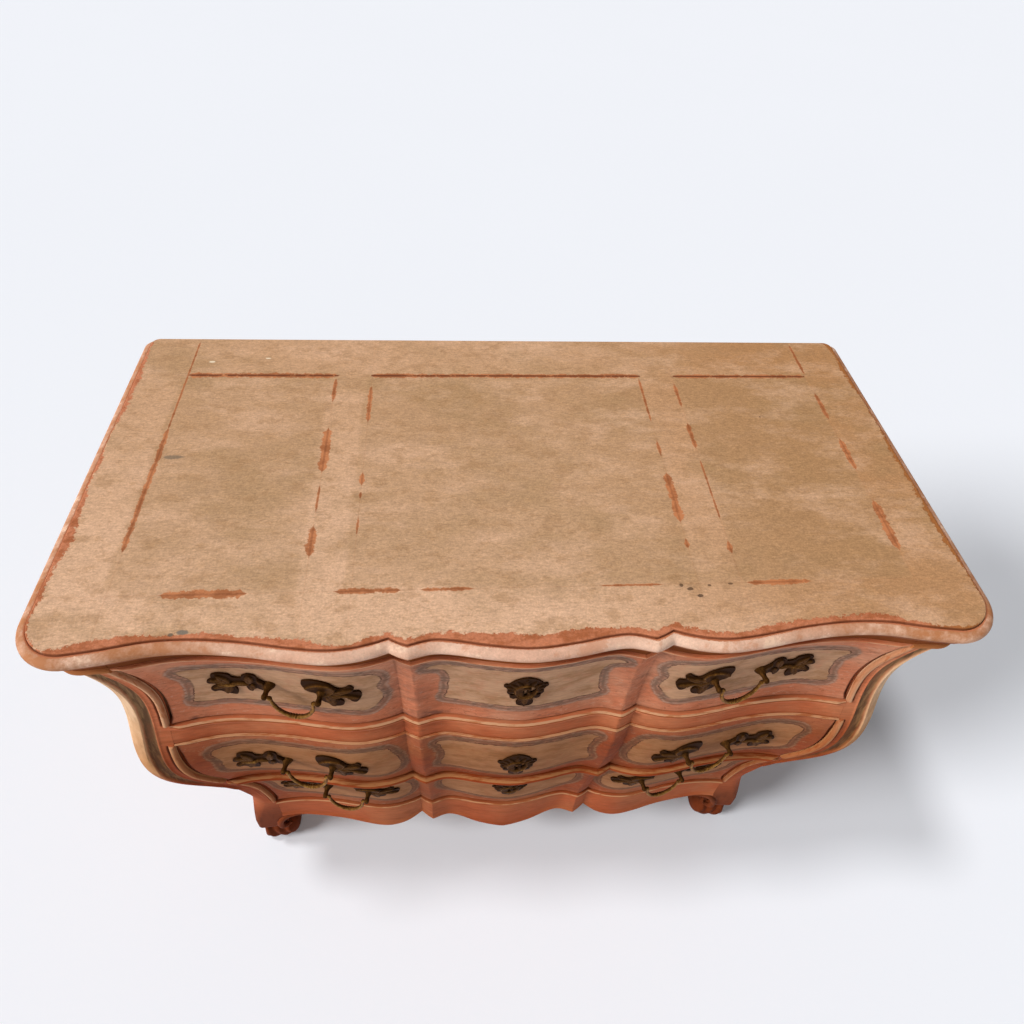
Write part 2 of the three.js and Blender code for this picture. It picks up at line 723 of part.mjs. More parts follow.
// A plate laid on the drawer front: an outline in X and Z, cut to the front behind it
function plateOnFront(outline, holes, front) {
  const shape = new THREE.Shape(outline.map(([x, z]) => new THREE.Vector2(x, z)));
  shape.holes = holes.map((hole) => new THREE.Path(hole.map(([x, z]) => new THREE.Vector2(x, z))));
  const slab = new THREE.ExtrudeGeometry(shape, { depth: 1, bevelEnabled: false, steps: 1 });
  const places = slab.attributes.position;
  for (let i = 0; i < places.count; i += 1) {
    const [x, z, side] = [places.getX(i), places.getY(i), places.getZ(i)];
    places.setXYZ(i, x, frontY(x, z) - plateThickness - seatGap + (1 - side) * 2 * plateThickness, z);
  }
  const seat = front.translate([0, -seatGap, 0]);
  return toSolid(slab).subtract(seat);
}

// A rod with the given points and radii, its sections square to its path in the plane X, Z
function rod(points, radii, sides = 7) {
  const rings = points.map((point, i) => {
    const before = points[Math.max(i - 1, 0)];
    const after = points[Math.min(i + 1, points.length - 1)];
    const tangent = new THREE.Vector3().subVectors(after, before).normalize();
    const across = new THREE.Vector3(0, 1, 0);
    const side = new THREE.Vector3().crossVectors(tangent, across).normalize();
    const ring = [];
    for (let k = 0; k < sides; k += 1) {
      const angle = 2 * Math.PI * k / sides;
      const offset = side.clone().multiplyScalar(radii[i] * Math.cos(angle));
      offset.addScaledVector(across, radii[i] * Math.sin(angle));
      ring.push(point.clone().add(offset));
    }
    return ring;
  });
  return loft(rings, 'y', 'z');
}

function pullLevel(number) {
  return drawerFeet[number] + drawerHeadroom + pullLevelShares[number] * drawerHeights[number];
}

// Where a pull sits: the middle of its eye line, and the turn of that line in plan
function pullFrame(number, side) {
  const z = pullLevel(number);
  const x = side * openingHalf * (side < 0 ? leftPullShares : rightPullShares)[number];
  const left = frontY(x - eyeSpacing / 2, z);
  const right = frontY(x + eyeSpacing / 2, z);
  return { x, z, y: (left + right) / 2 - eyeProud, turn: Math.atan2(right - left, eyeSpacing) };
}

function eyeSolid(frame, share, front) {
  const along = share * eyeSpacing / 2;
  const ring = new THREE.Shape();
  ring.absarc(0, 0, eyeRadius, 0, 2 * Math.PI, false);
  const bore = new THREE.Path();
  bore.absarc(0, 0, pinRadius + pinClearance, 0, 2 * Math.PI, true);
  ring.holes.push(bore);
  const options = { depth: eyeWidth, bevelEnabled: false, curveSegments: 5, steps: 1 };
  const eye = new THREE.ExtrudeGeometry(ring, options).translate(0, 0, -eyeWidth / 2).rotateY(Math.PI / 2);
  eye.translate(along, 0, 0);
  const reach = eyeProud + plateThickness;
  const shank = new THREE.CylinderGeometry(postRadius, postRadius, reach, 8);
  shank.translate(along, reach / 2 + (eyeRadius + pinRadius + pinClearance) / 2, 0);
  const turned = [eye, shank].map((piece) => piece.rotateZ(frame.turn).translate(frame.x, frame.y, frame.z));
  return toSolid(turned[0]).add(toSolid(turned[1]).subtract(front.translate([0, -seatGap, 0])));
}

function buildPull(number, side, front) {
  const frame = pullFrame(number, side);
  const label = side < 0 ? 'left' : 'right';
  const name = `drawer_${number + 1}_pull_${label}`;
  const plates = [
    { part: 'leaf_plate', shares: leafShares, away: side },
    { part: 'shell_plate', shares: shellShares, away: -side },
  ];
  for (const { part, shares, away } of plates) {
    const start = frame.x + away * (eyeSpacing / 2) * Math.cos(frame.turn);
    const outline = shares.map(([a, b]) => [start + away * a * plateLength, frame.z + b * plateHeight]);
    const plate = plateOnFront(outline, [], front).add(eyeSolid(frame, away, front));
    place(`${name}_${part}`, toGeometry(plate), darkBronze);
  }
  const holder = new THREE.Group();
  holder.position.set(frame.x, frame.y, frame.z);
  holder.rotation.z = frame.turn;
  commode.add(holder);
  place(`${name}_bail`, bailGeometry(), darkBronze, holder);
}

// The bail hangs from its two pins, which point outwards into the eyes
function bailGeometry() {
  const pinEnd = eyeSpacing / 2 + eyeWidth / 2;
  const pinStart = eyeSpacing / 2 - eyeWidth / 2 - bailRadius;
  const arc = pinStart - bailRadius * 0.4;
  const half = [[pinEnd, 0, pinRadius], [pinStart + bailRadius * 0.6, 0, pinRadius],
    [pinStart, -bailShoulder * 0.25, bailEndRadius], [arc, -bailShoulder, bailEndRadius]];
  const steps = 6;
  for (let i = 1; i <= steps; i += 1) {
    const angle = Math.PI / 2 * i / steps;
    const radius = bailEndRadius + (bailRadius - bailEndRadius) * Math.sin(angle);
    half.push([arc * Math.cos(angle), -bailShoulder - (bailDrop - bailShoulder) * Math.sin(angle), radius]);
  }
  const other = half.slice(0, -1).reverse().map(([x, z, radius]) => [-x, z, radius]);
  const rows = [...half, ...other];
  return rod(rows.map(([x, z]) => new THREE.Vector3(x, 0, z)), rows.map((row) => row[2]));
}

function buildEscutcheon(number, front) {
  const z = pullLevel(number);
  const rightHalf = escutcheonShares.map(([a, b]) => [a * escutcheonWidth, z + b * escutcheonHeight]);
  const leftHalf = rightHalf.slice(1).reverse().map(([x, level]) => [-x, level]);
  const keyhole = [];
  const waist = keyholeRadius * 0.45;
  for (let i = 0; i <= 8; i += 1) {
    const angle = -Math.PI / 3 + (2 * Math.PI - Math.PI / 3) * i / 8;
    keyhole.push([keyholeRadius * Math.cos(angle), z + keyholeRadius * Math.sin(angle)]);
  }
  keyhole.push([-waist, z - keyholeLength], [waist, z - keyholeLength]);
  const plate = plateOnFront([...rightHalf, ...leftHalf], [keyhole], front);
  place(`drawer_${number + 1}_escutcheon`, toGeometry(plate), darkBronze);
}

buildTop();
buildRails();
buildApron();
buildCarcase();
for (let number = 0; number < drawerHeights.length; number += 1) {
  const front = buildDrawer(number);
  buildPull(number, -1, front);
  buildPull(number, 1, front);
  buildEscutcheon(number, front);
}

export default commode;
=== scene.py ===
import math

import bmesh
import bpy
import numpy as np
from mathutils import Matrix, Vector


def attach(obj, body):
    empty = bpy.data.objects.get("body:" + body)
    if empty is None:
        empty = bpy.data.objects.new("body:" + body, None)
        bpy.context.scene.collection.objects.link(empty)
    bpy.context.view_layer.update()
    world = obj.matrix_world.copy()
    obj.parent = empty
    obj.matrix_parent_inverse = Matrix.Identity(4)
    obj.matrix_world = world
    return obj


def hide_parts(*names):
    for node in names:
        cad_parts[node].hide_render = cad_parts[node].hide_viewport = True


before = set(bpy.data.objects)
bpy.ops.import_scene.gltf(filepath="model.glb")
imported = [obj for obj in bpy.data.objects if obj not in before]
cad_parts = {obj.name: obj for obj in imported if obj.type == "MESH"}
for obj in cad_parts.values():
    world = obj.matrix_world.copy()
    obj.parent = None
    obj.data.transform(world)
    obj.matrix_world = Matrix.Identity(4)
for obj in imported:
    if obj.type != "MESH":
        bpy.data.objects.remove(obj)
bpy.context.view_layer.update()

# A painted serpentine commode chest. Shapes are worked out in millimetres and placed in metres.
MM = 0.001

# Overall sizes and levels
WIDTH, DEPTH, HEIGHT = 1240.0, 635.0, 850.0
CASE_TOP = 818.0
FRIEZE_FOOT = 784.0
UPPER_RAIL = (575.0, 622.0)
LOWER_RAIL = (397.0, 411.0)
APRON_TOP = 213.0
DRAWER_ROWS = [(623.5, 782.5), (412.5, 573.5), (214.5, 395.5)]
DRAWERS = ("drawer_1", "drawer_2", "drawer_3")

# Plan and elevation
WAVE_DEPTH = 25.0
RIDGE_TOP, RIDGE_APRON = 177.0, 158.0
TUCK_DEPTH = 46.0
FRONT_LINE = -295.5
OPENING_HALF = 497.0
BELLY_HALF = 570.0
DRAWER_GAP = 2.0
RAIL_BACK = -229.5
APRON_BACK = -200.5
POST_BACK = -190.0
CASE_BACK = 300.0
REAR_POST = (56.0, 52.0)

# Shares of the ridge's distance from the middle; the step of the notch starts at NOTCH
NOTCH = 0.87
WAVE_CENTRE = [[-0.3, 0.22], [0, 0], [0.3, 0.22], [0.56, 0.56], [0.7, 0.62], [NOTCH, 0.34]]
WAVE_STEP = [[NOTCH, 0.34], [0.93, 0.5], [1, 0.76]]
WAVE_OUTER = [
    [1, 0.76], [1.1, 0.52], [1.25, 0.28], [1.42, 0.2], [1.65, 0.38], [1.98, 0.78],
    [2.31, 1], [2.6, 0.94], [2.9, 0.56], [3.15, 0.32], [3.35, 0.26],
]
FRONT = [
    [0.12, 1], [0.26, 0.94], [0.34, 0.76], [0.43, 0.48], [0.505, 0.17], [0.575, -0.04], [0.635, -0.11],
    [0.7, -0.04], [0.78, 0.15], [0.855, 0.2], [0.93, 0.11], [0.973, 0], [1, -0.2],
]
OPENING = [
    [0.26, 0.849], [0.34, 0.855], [0.4, 0.866], [0.465, 0.899], [0.505, 0.928], [0.57, 0.979],
    [0.61, 0.995], [0.655, 1], [0.7, 0.998], [0.76, 0.992], [0.83, 0.985], [0.87, 0.99],
    [0.91, 1.007], [0.945, 1.031], [0.973, 1.047], [1, 1.058],
]
SIDE = [
    [0.1, 0.842], [0.17, 0.838], [0.26, 0.83], [0.34, 0.846], [0.38, 0.861], [0.415, 0.888],
    [0.45, 0.92], [0.49, 0.955], [0.525, 0.98], [0.565, 0.995], [0.61, 1], [0.67, 0.995],
    [0.735, 0.984], [0.785, 0.977], [0.83, 0.975], [0.875, 0.982], [0.92, 0.999], [0.955, 1.02],
    [0.985, 1.043], [1, 1.052],
]


def through(table, place):
    """A cubic through rows of (place, value), level past its ends."""
    places, values = np.array(table, float).T
    place = np.asarray(place, float)
    slopes = np.empty_like(values)
    slopes[1:-1] = (values[2:] - values[:-2]) / (places[2:] - places[:-2])
    slopes[0] = (values[1] - values[0]) / (places[1] - places[0])
    slopes[-1] = (values[-1] - values[-2]) / (places[-1] - places[-2])
    at = np.clip(np.searchsorted(places, place, side="right") - 1, 0, len(places) - 2)
    span = places[at + 1] - places[at]
    t = np.clip((place - places[at]) / span, 0, 1)
    t2, t3 = t * t, t * t * t
    return ((2 * t3 - 3 * t2 + 1) * values[at] + (t3 - 2 * t2 + t) * span * slopes[at]
            + (3 * t2 - 2 * t3) * values[at + 1] + (t3 - t2) * span * slopes[at + 1])


def wave(x, ridge):
    """How far the front stands back from its foremost line, by the distance of the notch's ridge."""
    share = np.abs(x) / ridge
    outer = np.where(share < 1, through(WAVE_STEP, share), through(WAVE_OUTER, share))
    return WAVE_DEPTH * np.where(share < NOTCH, through(WAVE_CENTRE, share), outer)


def ridge_at(z):
    return RIDGE_APRON + (RIDGE_TOP - RIDGE_APRON) * (z - APRON_TOP) / (HEIGHT - APRON_TOP)


def notch_distance(x, ridge):
    """Distance across from the nearer edge of the notch between the swells of the front."""
    size = np.abs(x)
    return np.minimum(np.abs(size - NOTCH * ridge), np.abs(size - ridge))


def front_y(x, z):
    return FRONT_LINE + TUCK_DEPTH * through(FRONT, np.asarray(z) / CASE_TOP) + wave(x, ridge_at(z))


def opening_at(z):
    return OPENING_HALF * through(OPENING, np.asarray(z) / CASE_TOP)


def side_at(z):
    return BELLY_HALF * through(SIDE, np.asarray(z) / CASE_TOP)


def station_x(station, z, half):
    """Up to 1 a station follows the notch in the front, and from 1 to 2 it runs to the end."""
    size = np.abs(station)
    ridge = ridge_at(z)
    x = np.where(size <= 1, size * ridge, ridge + (size - 1) * (half - ridge))
    return np.sign(station) * x


def both_sides(places):
    """Places from 0 to an end, and the same on the left."""
    return np.concatenate([-places[:0:-1], places])


def mirrored(rows):
    """Rows that end on the middle line, and then their mirror images."""
    return rows + [(-x, *rest) for x, *rest in rows[-2::-1]]


HALF_STATIONS = np.concatenate([
    np.linspace(0, NOTCH, 44)[:-1], np.linspace(NOTCH, 1, 8)[:-1], np.linspace(1, 2, 100),
])
STATIONS = both_sides(HALF_STATIONS)


def circle(radius, angles):
    """Points of a circle round the origin at angles in radians."""
    return [(radius * math.cos(t), radius * math.sin(t)) for t in angles]


def turned(points, angle):
    """Points turned about the upright axis, or in their own plane."""
    c, s = math.cos(angle), math.sin(angle)
    points = np.asarray(points, float)
    x, y = points[:, 0], points[:, 1]
    return np.column_stack([x * c - y * s, x * s + y * c, *points.T[2:]])


def smooth_step(value, low, high):
    t = np.clip((value - low) / (high - low), 0, 1)
    return t * t * (3 - 2 * t)


# Meshes
def add_object(name, data):
    """An object of some data, in the scene."""
    made = bpy.data.objects.new(name, data)
    bpy.context.scene.collection.objects.link(made)
    return made


def new_object(name, points, faces, attributes=None, sharp=38):
    mesh = bpy.data.meshes.new(name)
    mesh.from_pydata([tuple(p) for p in np.asarray(points, float) * MM], [], faces)
    for label, values in (attributes or {}).items():
        layer = mesh.attributes.new(label, "FLOAT", "POINT")
        layer.data.foreach_set("value", np.asarray(values, np.float32).ravel())
    shape = bmesh.new()
    shape.from_mesh(mesh)
    bmesh.ops.recalc_face_normals(shape, faces=shape.faces)
    shape.to_mesh(mesh)
    shape.free()
    mesh.shade_smooth()
    mesh.set_sharp_from_angle(angle=math.radians(sharp))
    return add_object(name, mesh)


def cut_mesh(shape, point, normal, clear=False):
    geometry = shape.verts[:] + shape.edges[:] + shape.faces[:]
    return bmesh.ops.bisect_plane(
        shape, geom=geometry, plane_co=point, plane_no=normal, clear_outer=clear, dist=1e-4)["geom_cut"]


def read_mesh(shape):
    """Points and faces of a bmesh."""
    shape.verts.index_update()
    return np.array([v.co[:] for v in shape.verts]), [tuple(v.index for v in f.verts) for f in shape.faces]


def strips(rows, columns, start=0, closed=False):
    last = columns if closed else columns - 1
    return [
        (start + r * columns + c, start + r * columns + (c + 1) % columns,
         start + (r + 1) * columns + (c + 1) % columns, start + (r + 1) * columns + c)
        for r in range(rows - 1) for c in range(last)
    ]


def loft_parts(rings):
    """Points and faces of a closed solid through rings of points."""
    rings = np.asarray(rings, float)
    rows, columns = rings.shape[:2]
    faces = strips(rows, columns, closed=True)
    faces.append(tuple(range(columns))[::-1])
    faces.append(tuple((rows - 1) * columns + c for c in range(columns)))
    return rings.reshape(-1, 3), faces


def shell_parts(front, back):
    """Points and faces of a closed solid between two grids of the same size."""
    rows, columns = front.shape[:2]
    size = rows * columns
    faces = strips(rows, columns) + [f[::-1] for f in strips(rows, columns, start=size)]
    border = [c for c in range(columns)]
    border += [r * columns + columns - 1 for r in range(1, rows)]
    border += [(rows - 1) * columns + c for c in range(columns - 2, -1, -1)]
    border += [r * columns for r in range(rows - 2, 0, -1)]
    for i, a in enumerate(border):
        b = border[(i + 1) % len(border)]
        faces.append((a, b, b + size, a + size))
    points = np.concatenate([front.reshape(-1, 3), back.reshape(-1, 3)])
    return points, faces


def join_parts(parts):
    points, faces, count = [], [], 0
    for some, shapes in parts:
        points.append(np.asarray(some, float))
        faces += [tuple(i + count for i in f) for f in shapes]
        count += len(some)
    return np.concatenate(points), faces


def grid(x, y, z):
    x, y, z = np.broadcast_arrays(x, y, z)
    return np.stack([x, y, z], axis=-1)


def bead(foot, top, reach, steps=8, lift=0.0):
    """Rows (reach, level) of a half-round bead between two levels."""
    rows = []
    for i in range(steps + 1):
        angle = math.pi * i / steps
        rows.append((reach * math.sin(angle) ** 0.8 + lift, foot + (top - foot) * (1 - math.cos(angle)) / 2))
    return rows


# Materials
def linear(code):
    parts = [int(code[i:i + 2], 16) / 255 for i in (1, 3, 5)]
    return tuple(c / 12.92 if c <= 0.04045 else ((c + 0.055) / 1.055) ** 2.4 for c in parts) + (1.0,)


# Old varnish and painted shade: how strong they are at each height in metres, most near the floor and across the
# middle drawer, and what they multiply a colour by
VARNISH_AND_SHADE = [(0.0, 1.0), (0.1, 0.8), (0.13, 0.7), (0.2, 0.64), (0.225, 0.8), (0.3, 1.0), (0.53, 1.0), (0.6, 0.5),
       (0.63, 0.3), (0.78, 0.22), (0.83, 0.1)]
VARNISH_AND_SHADE_TONE, SALMON_VARNISH_AND_SHADE_TONE = "#cdb090", "#d8c0a8"


class Flow:
    """An output socket of a tree; sums with it become math nodes."""

    def __init__(self, tree, socket):
        self.tree, self.socket = tree, socket

    def __add__(self, other):
        return self.tree.math("ADD", self, other)

    def __radd__(self, other):
        return self.tree.math("ADD", other, self)

    def __sub__(self, other):
        return self.tree.math("SUBTRACT", self, other)

    def __rsub__(self, other):
        return self.tree.math("SUBTRACT", other, self)

    def __mul__(self, other):
        return self.tree.math("MULTIPLY", self, other)

    def __abs__(self):
        return self.tree.math("ABSOLUTE", self)


class Tree:
    """A node tree that is put together socket by socket."""

    def __init__(self, owner):
        owner.use_nodes = True
        self.tree = owner.node_tree

    def add(self, kind, values=(), **settings):
        """A node with these settings, and with values or sockets at its inputs."""
        node = self.tree.nodes.new(kind)
        for key, value in settings.items():
            setattr(node, key, value)
        for key, value in dict(values).items():
            self.put(node.inputs[key], value)
        return node

    def put(self, socket, value):
        if isinstance(value, Flow):
            value = value.socket
        if isinstance(value, bpy.types.NodeSocket):
            self.tree.links.new(value, socket)
        elif isinstance(value, str):
            socket.default_value = linear(value)[:len(socket.default_value)]
        else:
            socket.default_value = value

    def math(self, operation, a, b=0.0, clamp=False):
        node = self.add("ShaderNodeMath", {0: a, 1: b}, operation=operation, use_clamp=clamp)
        return Flow(self, node.outputs[0])


class Finish(Tree):
    """A material: its shader, and the colours and heights that lead to it."""

    def __init__(self, name, roughness=0.65, metallic=0.0, specular=0.3):
        self.material = bpy.data.materials.new(name)
        super().__init__(self.material)
        self.shader = next(n for n in self.tree.nodes if n.type == "BSDF_PRINCIPLED")
        for label, value in (("Roughness", roughness), ("Metallic", metallic), ("Specular IOR Level", specular)):
            self.shader.inputs[label].default_value = value
        self.place = self.add("ShaderNodeTexCoord").outputs["Object"]
        split = self.add("ShaderNodeSeparateXYZ", {0: self.place})
        self.x, self.y, self.z = (Flow(self, socket) for socket in split.outputs)

    def step(self, value, low, high):
        limits = {"Value": value, "From Min": low, "From Max": high}
        return Flow(self, self.add("ShaderNodeMapRange", limits, interpolation_type="SMOOTHSTEP").outputs["Result"])

    def band(self, value, start, full, end, still):
        """1 from full to still, 0 before start and after end."""
        return self.step(value, start, full) * self.step(value, end, still)

    def noise(self, scale, stretch=(1, 1, 1), detail=4.0, rough=0.55, shift=0.0):
        mapping = self.add("ShaderNodeMapping", {
            "Vector": self.place, "Scale": stretch, "Location": (shift, shift * 0.7, shift * 1.3)})
        node = self.add("ShaderNodeTexNoise", {
            "Vector": mapping.outputs["Vector"], "Scale": scale, "Detail": detail, "Roughness": rough})
        return Flow(self, node.outputs[0])

    def attribute(self, name):
        return Flow(self, self.add("ShaderNodeAttribute", attribute_name=name).outputs["Fac"])

    def ramp(self, value, stops):
        node = self.add("ShaderNodeValToRGB", {"Fac": value})
        elements = node.color_ramp.elements
        while len(elements) < len(stops):
            elements.new(0.5)
        for element, (position, level) in zip(elements, stops):
            element.position = position
        for element, (position, level) in zip(elements, stops):
            element.color = (level, level, level, 1)
        return Flow(self, node.outputs["Color"])

    def mix(self, factor, a, b, blend="MIX"):
        node = self.add("ShaderNodeMix", data_type="RGBA", blend_type=blend, clamp_factor=True)
        for number, value in ((0, factor), (6, a), (7, b)):
            self.put(node.inputs[number], value)
        return Flow(self, node.outputs[2])

    def tint(self, colour, noise, low, high):
        """The colour made darker or lighter by a noise between two strengths."""
        node = self.add("ShaderNodeMapRange", {
            "Value": noise, "From Min": 0.3, "From Max": 0.7, "To Min": low, "To Max": high})
        scale = self.add("ShaderNodeVectorMath", operation="SCALE")
        self.put(scale.inputs[0], colour)
        self.put(scale.inputs["Scale"], node.outputs["Result"])
        return Flow(self, scale.outputs[0])

    def bump(self, height, distance, strength):
        node = self.add("ShaderNodeBump", {"Distance": distance, "Strength": strength, "Height": height})
        self.put(self.shader.inputs["Normal"], node.outputs["Normal"])

    def varnished_and_shaded(self, colour, tone=VARNISH_AND_SHADE_TONE):
        """The colour darkened by old varnish and painted shade, by height above the floor."""
        return self.mix(self.ramp(self.z, VARNISH_AND_SHADE), colour, tone, "MULTIPLY")

    def done(self, colour, roughness=None):
        self.put(self.shader.inputs["Base Color"], colour)
        if roughness is not None:
            self.put(self.shader.inputs["Roughness"], roughness)
        return self.material


def old_paint(f, base, dark, light, grain=(1, 1, 1)):
    """Worn paint: broad clouds, brush streaks and fine wear over one hue, darkened by height with old varnish and
    painted shade.
    """
    clouds = f.noise(7, detail=5, rough=0.6)
    patches = f.noise(30, stretch=grain, detail=5, rough=0.65, shift=3.1)
    streaks = f.noise(260, stretch=grain, detail=3, rough=0.6, shift=7.7)
    colour = f.mix(f.step(clouds, 0.42, 0.66), base, light)
    colour = f.mix(f.step(patches, 0.5, 0.72) * 0.6, colour, dark)
    colour = f.tint(colour, streaks, 0.84, 1.12)
    chips = f.step(f.noise(400, detail=2, rough=0.7, shift=4.9), 0.64, 0.7)
    colour = f.mix(chips * 0.45, colour, "#dba787")
    f.bump(streaks + patches * 1.5, 0.0004, 0.6)
    return f.varnished_and_shaded(colour, SALMON_VARNISH_AND_SHADE_TONE)


# How noise is drawn out along a grain
ALONG_X, ALONG_Y, ALONG_Z = (0.12, 1, 1), (1, 0.12, 1), (1, 1, 0.12)

# The joint at the back of the top, which is barer and darker than the others, in millimetres
BACK_SEAM = 218
# Joints of the top: axis across, place, and bare stretches (from, to, half width), in millimetres
SEAMS = [
    ("y", BACK_SEAM, ((-522, -287, 2.6), (-226, 226, 2.2), (290, 520, 2.0))),
    ("x", -525, ((90, 306, 0.7), (-144, 86, 1.6))),
    ("x", -286, ((155, 206, 1.4), (-2, 84, 2.6), (-79, -36, 0.9), (-158, -112, 2.4))),
    ("x", -227, ((107, 186, 1.5), (-29, -12, 1.8), (-55, -49, 1.4), (-122, -96, 0.8))),
    ("x", 225, ((105, 208, 0.9), (25, 54, 1.0), (-107, -18, 2.6), (-156, -144, 1.7))),
    ("x", 284, ((142, 194, 1.3), (42, 93, 1.7), (-103, 9, 0.7), (-166, -150, 1.6))),
    ("x", 526, ((228, 306, 1.0), (109, 168, 1.5), (-7, 54, 2.1), (-164, -78, 2.6))),
    ("y", -217, ((-457, -361, 2.8), (-244, -168, 1.8), (-136, -76, 1.3), (97, 173, 0.8), (295, 375, 1.7))),
]
SEAM_REACH, SEAM_WIDEST, SEAM_FADE = 640.0, 2.8, 0.003

# Stains and pits of the top: place, half sizes in millimetres and colour
MARKS = [
    (-503, 27, 17, 5, "#7b6a57"), (-421, -271, 8, 4, "#6a675f"), (-434, -274, 4, 3, "#5d5548"),
    (201, -219, 3, 3, "#4d3828"), (212, -225, 5, 3, "#4d3828"), (223, -236, 5, 3, "#33241a"),
    (239, -220, 3, 2, "#4d3828"), (268, -218, 4, 2, "#5d432f"), (-494, 254, 6, 3, "#f4e2c4"),
    (-404, 264, 5, 2, "#f4e2c4"), (410, 112, 2, 2, "#4d3828"),
]


def sand_paint():
    f = Finish("sand_paint", 0.68, specular=0.15)
    clouds = f.noise(4.2, stretch=(1, 1.5, 1), detail=6, rough=0.62)
    blotches = f.noise(11, stretch=(0.6, 1.4, 1), detail=6, rough=0.68, shift=5.3)
    streaks = f.noise(430, stretch=(0.3, 1, 1), detail=4, rough=0.75, shift=1.9)
    speckle = f.noise(380, detail=3, rough=0.75, shift=9.1)
    mottle = f.noise(46, stretch=(0.7, 1, 1), detail=6, rough=0.72, shift=14.2)
    # Painted light and shade: the top is lighter towards the front and darker towards the right.
    painted_front_light = f.step(f.y, 0.28, -0.3)
    right = f.step(f.x, 0.0, 0.48)
    base = f.mix(painted_front_light, "#c89d78", "#dab08e")
    base = f.mix(right * 0.76, base, "#aa7949")
    wide_x = abs(f.x + mottle * 0.01)
    inner = f.step(wide_x, 0.236, 0.228)
    outer = f.band(wide_x, 0.286, 0.296, 0.532, 0.524)
    panel = f.math("ADD", inner, outer, clamp=True) * f.step(f.y, -0.222, -0.206) * f.step(f.y, 0.226, 0.214)
    base = f.mix(panel * (right * 0.12 + 0.4), base, "#a9835b")
    colour = f.mix(f.step(clouds, 0.46, 0.66) * 0.5, base, "#a5825a")
    colour = f.mix(f.step(blotches, 0.44, 0.68) * 0.5, colour, "#e0b594")
    colour = f.mix(f.step(mottle, 0.48, 0.64) * 0.5, colour, "#9a7450")
    colour = f.tint(colour, mottle, 0.9, 1.12)
    colour = f.tint(colour, streaks, 0.78, 1.2)
    colour = f.tint(colour, speckle, 0.82, 1.18)
    inset = f.attribute("inset")
    # Moulding: cream with brown below (painted shade and worn salmon), a dark line in the groove and bare salmon
    # inside it
    cream = f.mix(f.step(blotches, 0.4, 0.7), "#dcad92", "#eec8ae")
    cream = f.tint(cream, mottle, 0.88, 1.1)
    cream = f.tint(cream, speckle, 0.88, 1.1)
    rubs = f.noise(26, detail=6, rough=0.7, shift=17.0)
    cream = f.mix(f.step(rubs, 0.54, 0.62) * 0.55, cream, "#cf8f6c")
    cream = f.mix(f.step(rubs, 0.42, 0.36) * 0.6, cream, "#f6d3b4")
    sides = f.math("MAXIMUM", f.step(f.x, 0.2, 0.52), f.step(f.x, -0.22, -0.5))
    rubbed_sides = sides * f.step(rubs, 0.3, 0.6)
    cream = f.mix(rubbed_sides * 0.85, cream, "#ab6a3a")
    moulding = f.step(inset, 13.4, 12.8)
    rubbed = blotches * 8.0 + speckle * 5.0
    worn = f.step(inset + rubbed, 16.6, 17.8)
    cream = f.mix(worn * moulding, cream, "#bd7550")
    # Painted shade and worn salmon on the lower half of the rounded edge, and a dark painted shadow line under it.
    height = f.z + (blotches - 0.5) * 0.008
    cream = f.mix(f.step(height, 0.8385, 0.832) * 0.8, cream, "#b9743f")
    cream = f.mix(f.step(height, 0.831, 0.8285), cream, "#8a4a22")
    broad = f.noise(5, detail=2, shift=12.0)
    ragged = f.noise(85, detail=5, rough=0.78, shift=4.4)
    side = f.step(f.x, 0.1, 0.3) * 1.2 + f.step(f.x, -0.5, -0.58) * 0.8
    reach = broad * 44.0 + ragged * 26.0 - (26.0 + side * 6.0)
    band = f.step(14.6 + reach - inset, -0.4, 0.6)
    bared = f.mix(f.step(mottle, 0.42, 0.6), "#c67c58", "#a9623d")
    bared = f.mix(f.step(f.x, 0.48, 0.57), bared, "#a06434")
    colour = f.mix(band, colour, f.tint(bared, speckle, 0.8, 1.16))
    bare = f.mix(f.step(mottle, 0.42, 0.58), "#c47a4c", "#a05d34")
    for axis, at, dashes in SEAMS:
        hair, strength = (1.4, 0.85) if at == BACK_SEAM else (0.5, 0.3)
        across, along = (f.y, f.x) if axis == "y" else (f.x, f.y)
        stops = [(0.0, 0.0)]
        for start, end, half in sorted(dashes):
            a, b = ((v + SEAM_REACH) / (2 * SEAM_REACH) for v in (start, end))
            level = half / SEAM_WIDEST
            stops += [(a - SEAM_FADE, 0.0), (a + SEAM_FADE, level), (b - SEAM_FADE, level), (b + SEAM_FADE, 0.0)]
        open_here = f.ramp(along * (500 / SEAM_REACH) + 0.5, stops)
        apart = abs(across * 1000.0 - float(at))
        depth = open_here * (ragged * 22.0 - 4.6) - apart
        colour = f.mix(f.step(depth, -0.6, 1.0) * 0.9, colour, bare)
        core = f.step(apart - open_here * 0.7, hair + 0.8, hair)
        core = core * f.step(open_here, 0.02, 0.2) * f.step(ragged, 0.36, 0.46)
        colour = f.mix(core * strength, colour, "#62301a")
    for x, y, wide, deep, tone in MARKS:
        across = (f.x - x * MM) * (1000 / wide)
        along = (f.y - y * MM) * (1000 / deep)
        far = across * across + along * along + (ragged - 0.5) * 1.4
        colour = f.mix(f.step(far, 1.0, 0.4) * 0.8, colour, tone)
    colour = f.mix(moulding, colour, cream)
    groove = f.band(inset, 12.7, 13.1, 14.2, 13.7)
    colour = f.mix(groove * 0.65, colour, "#6d3d26")
    f.bump(streaks + blotches - band * 0.6, 0.0004, 0.7)
    return f.done(colour)


# What "field" says on the bare inner face of a drawer's front
INSIDE = -200.0


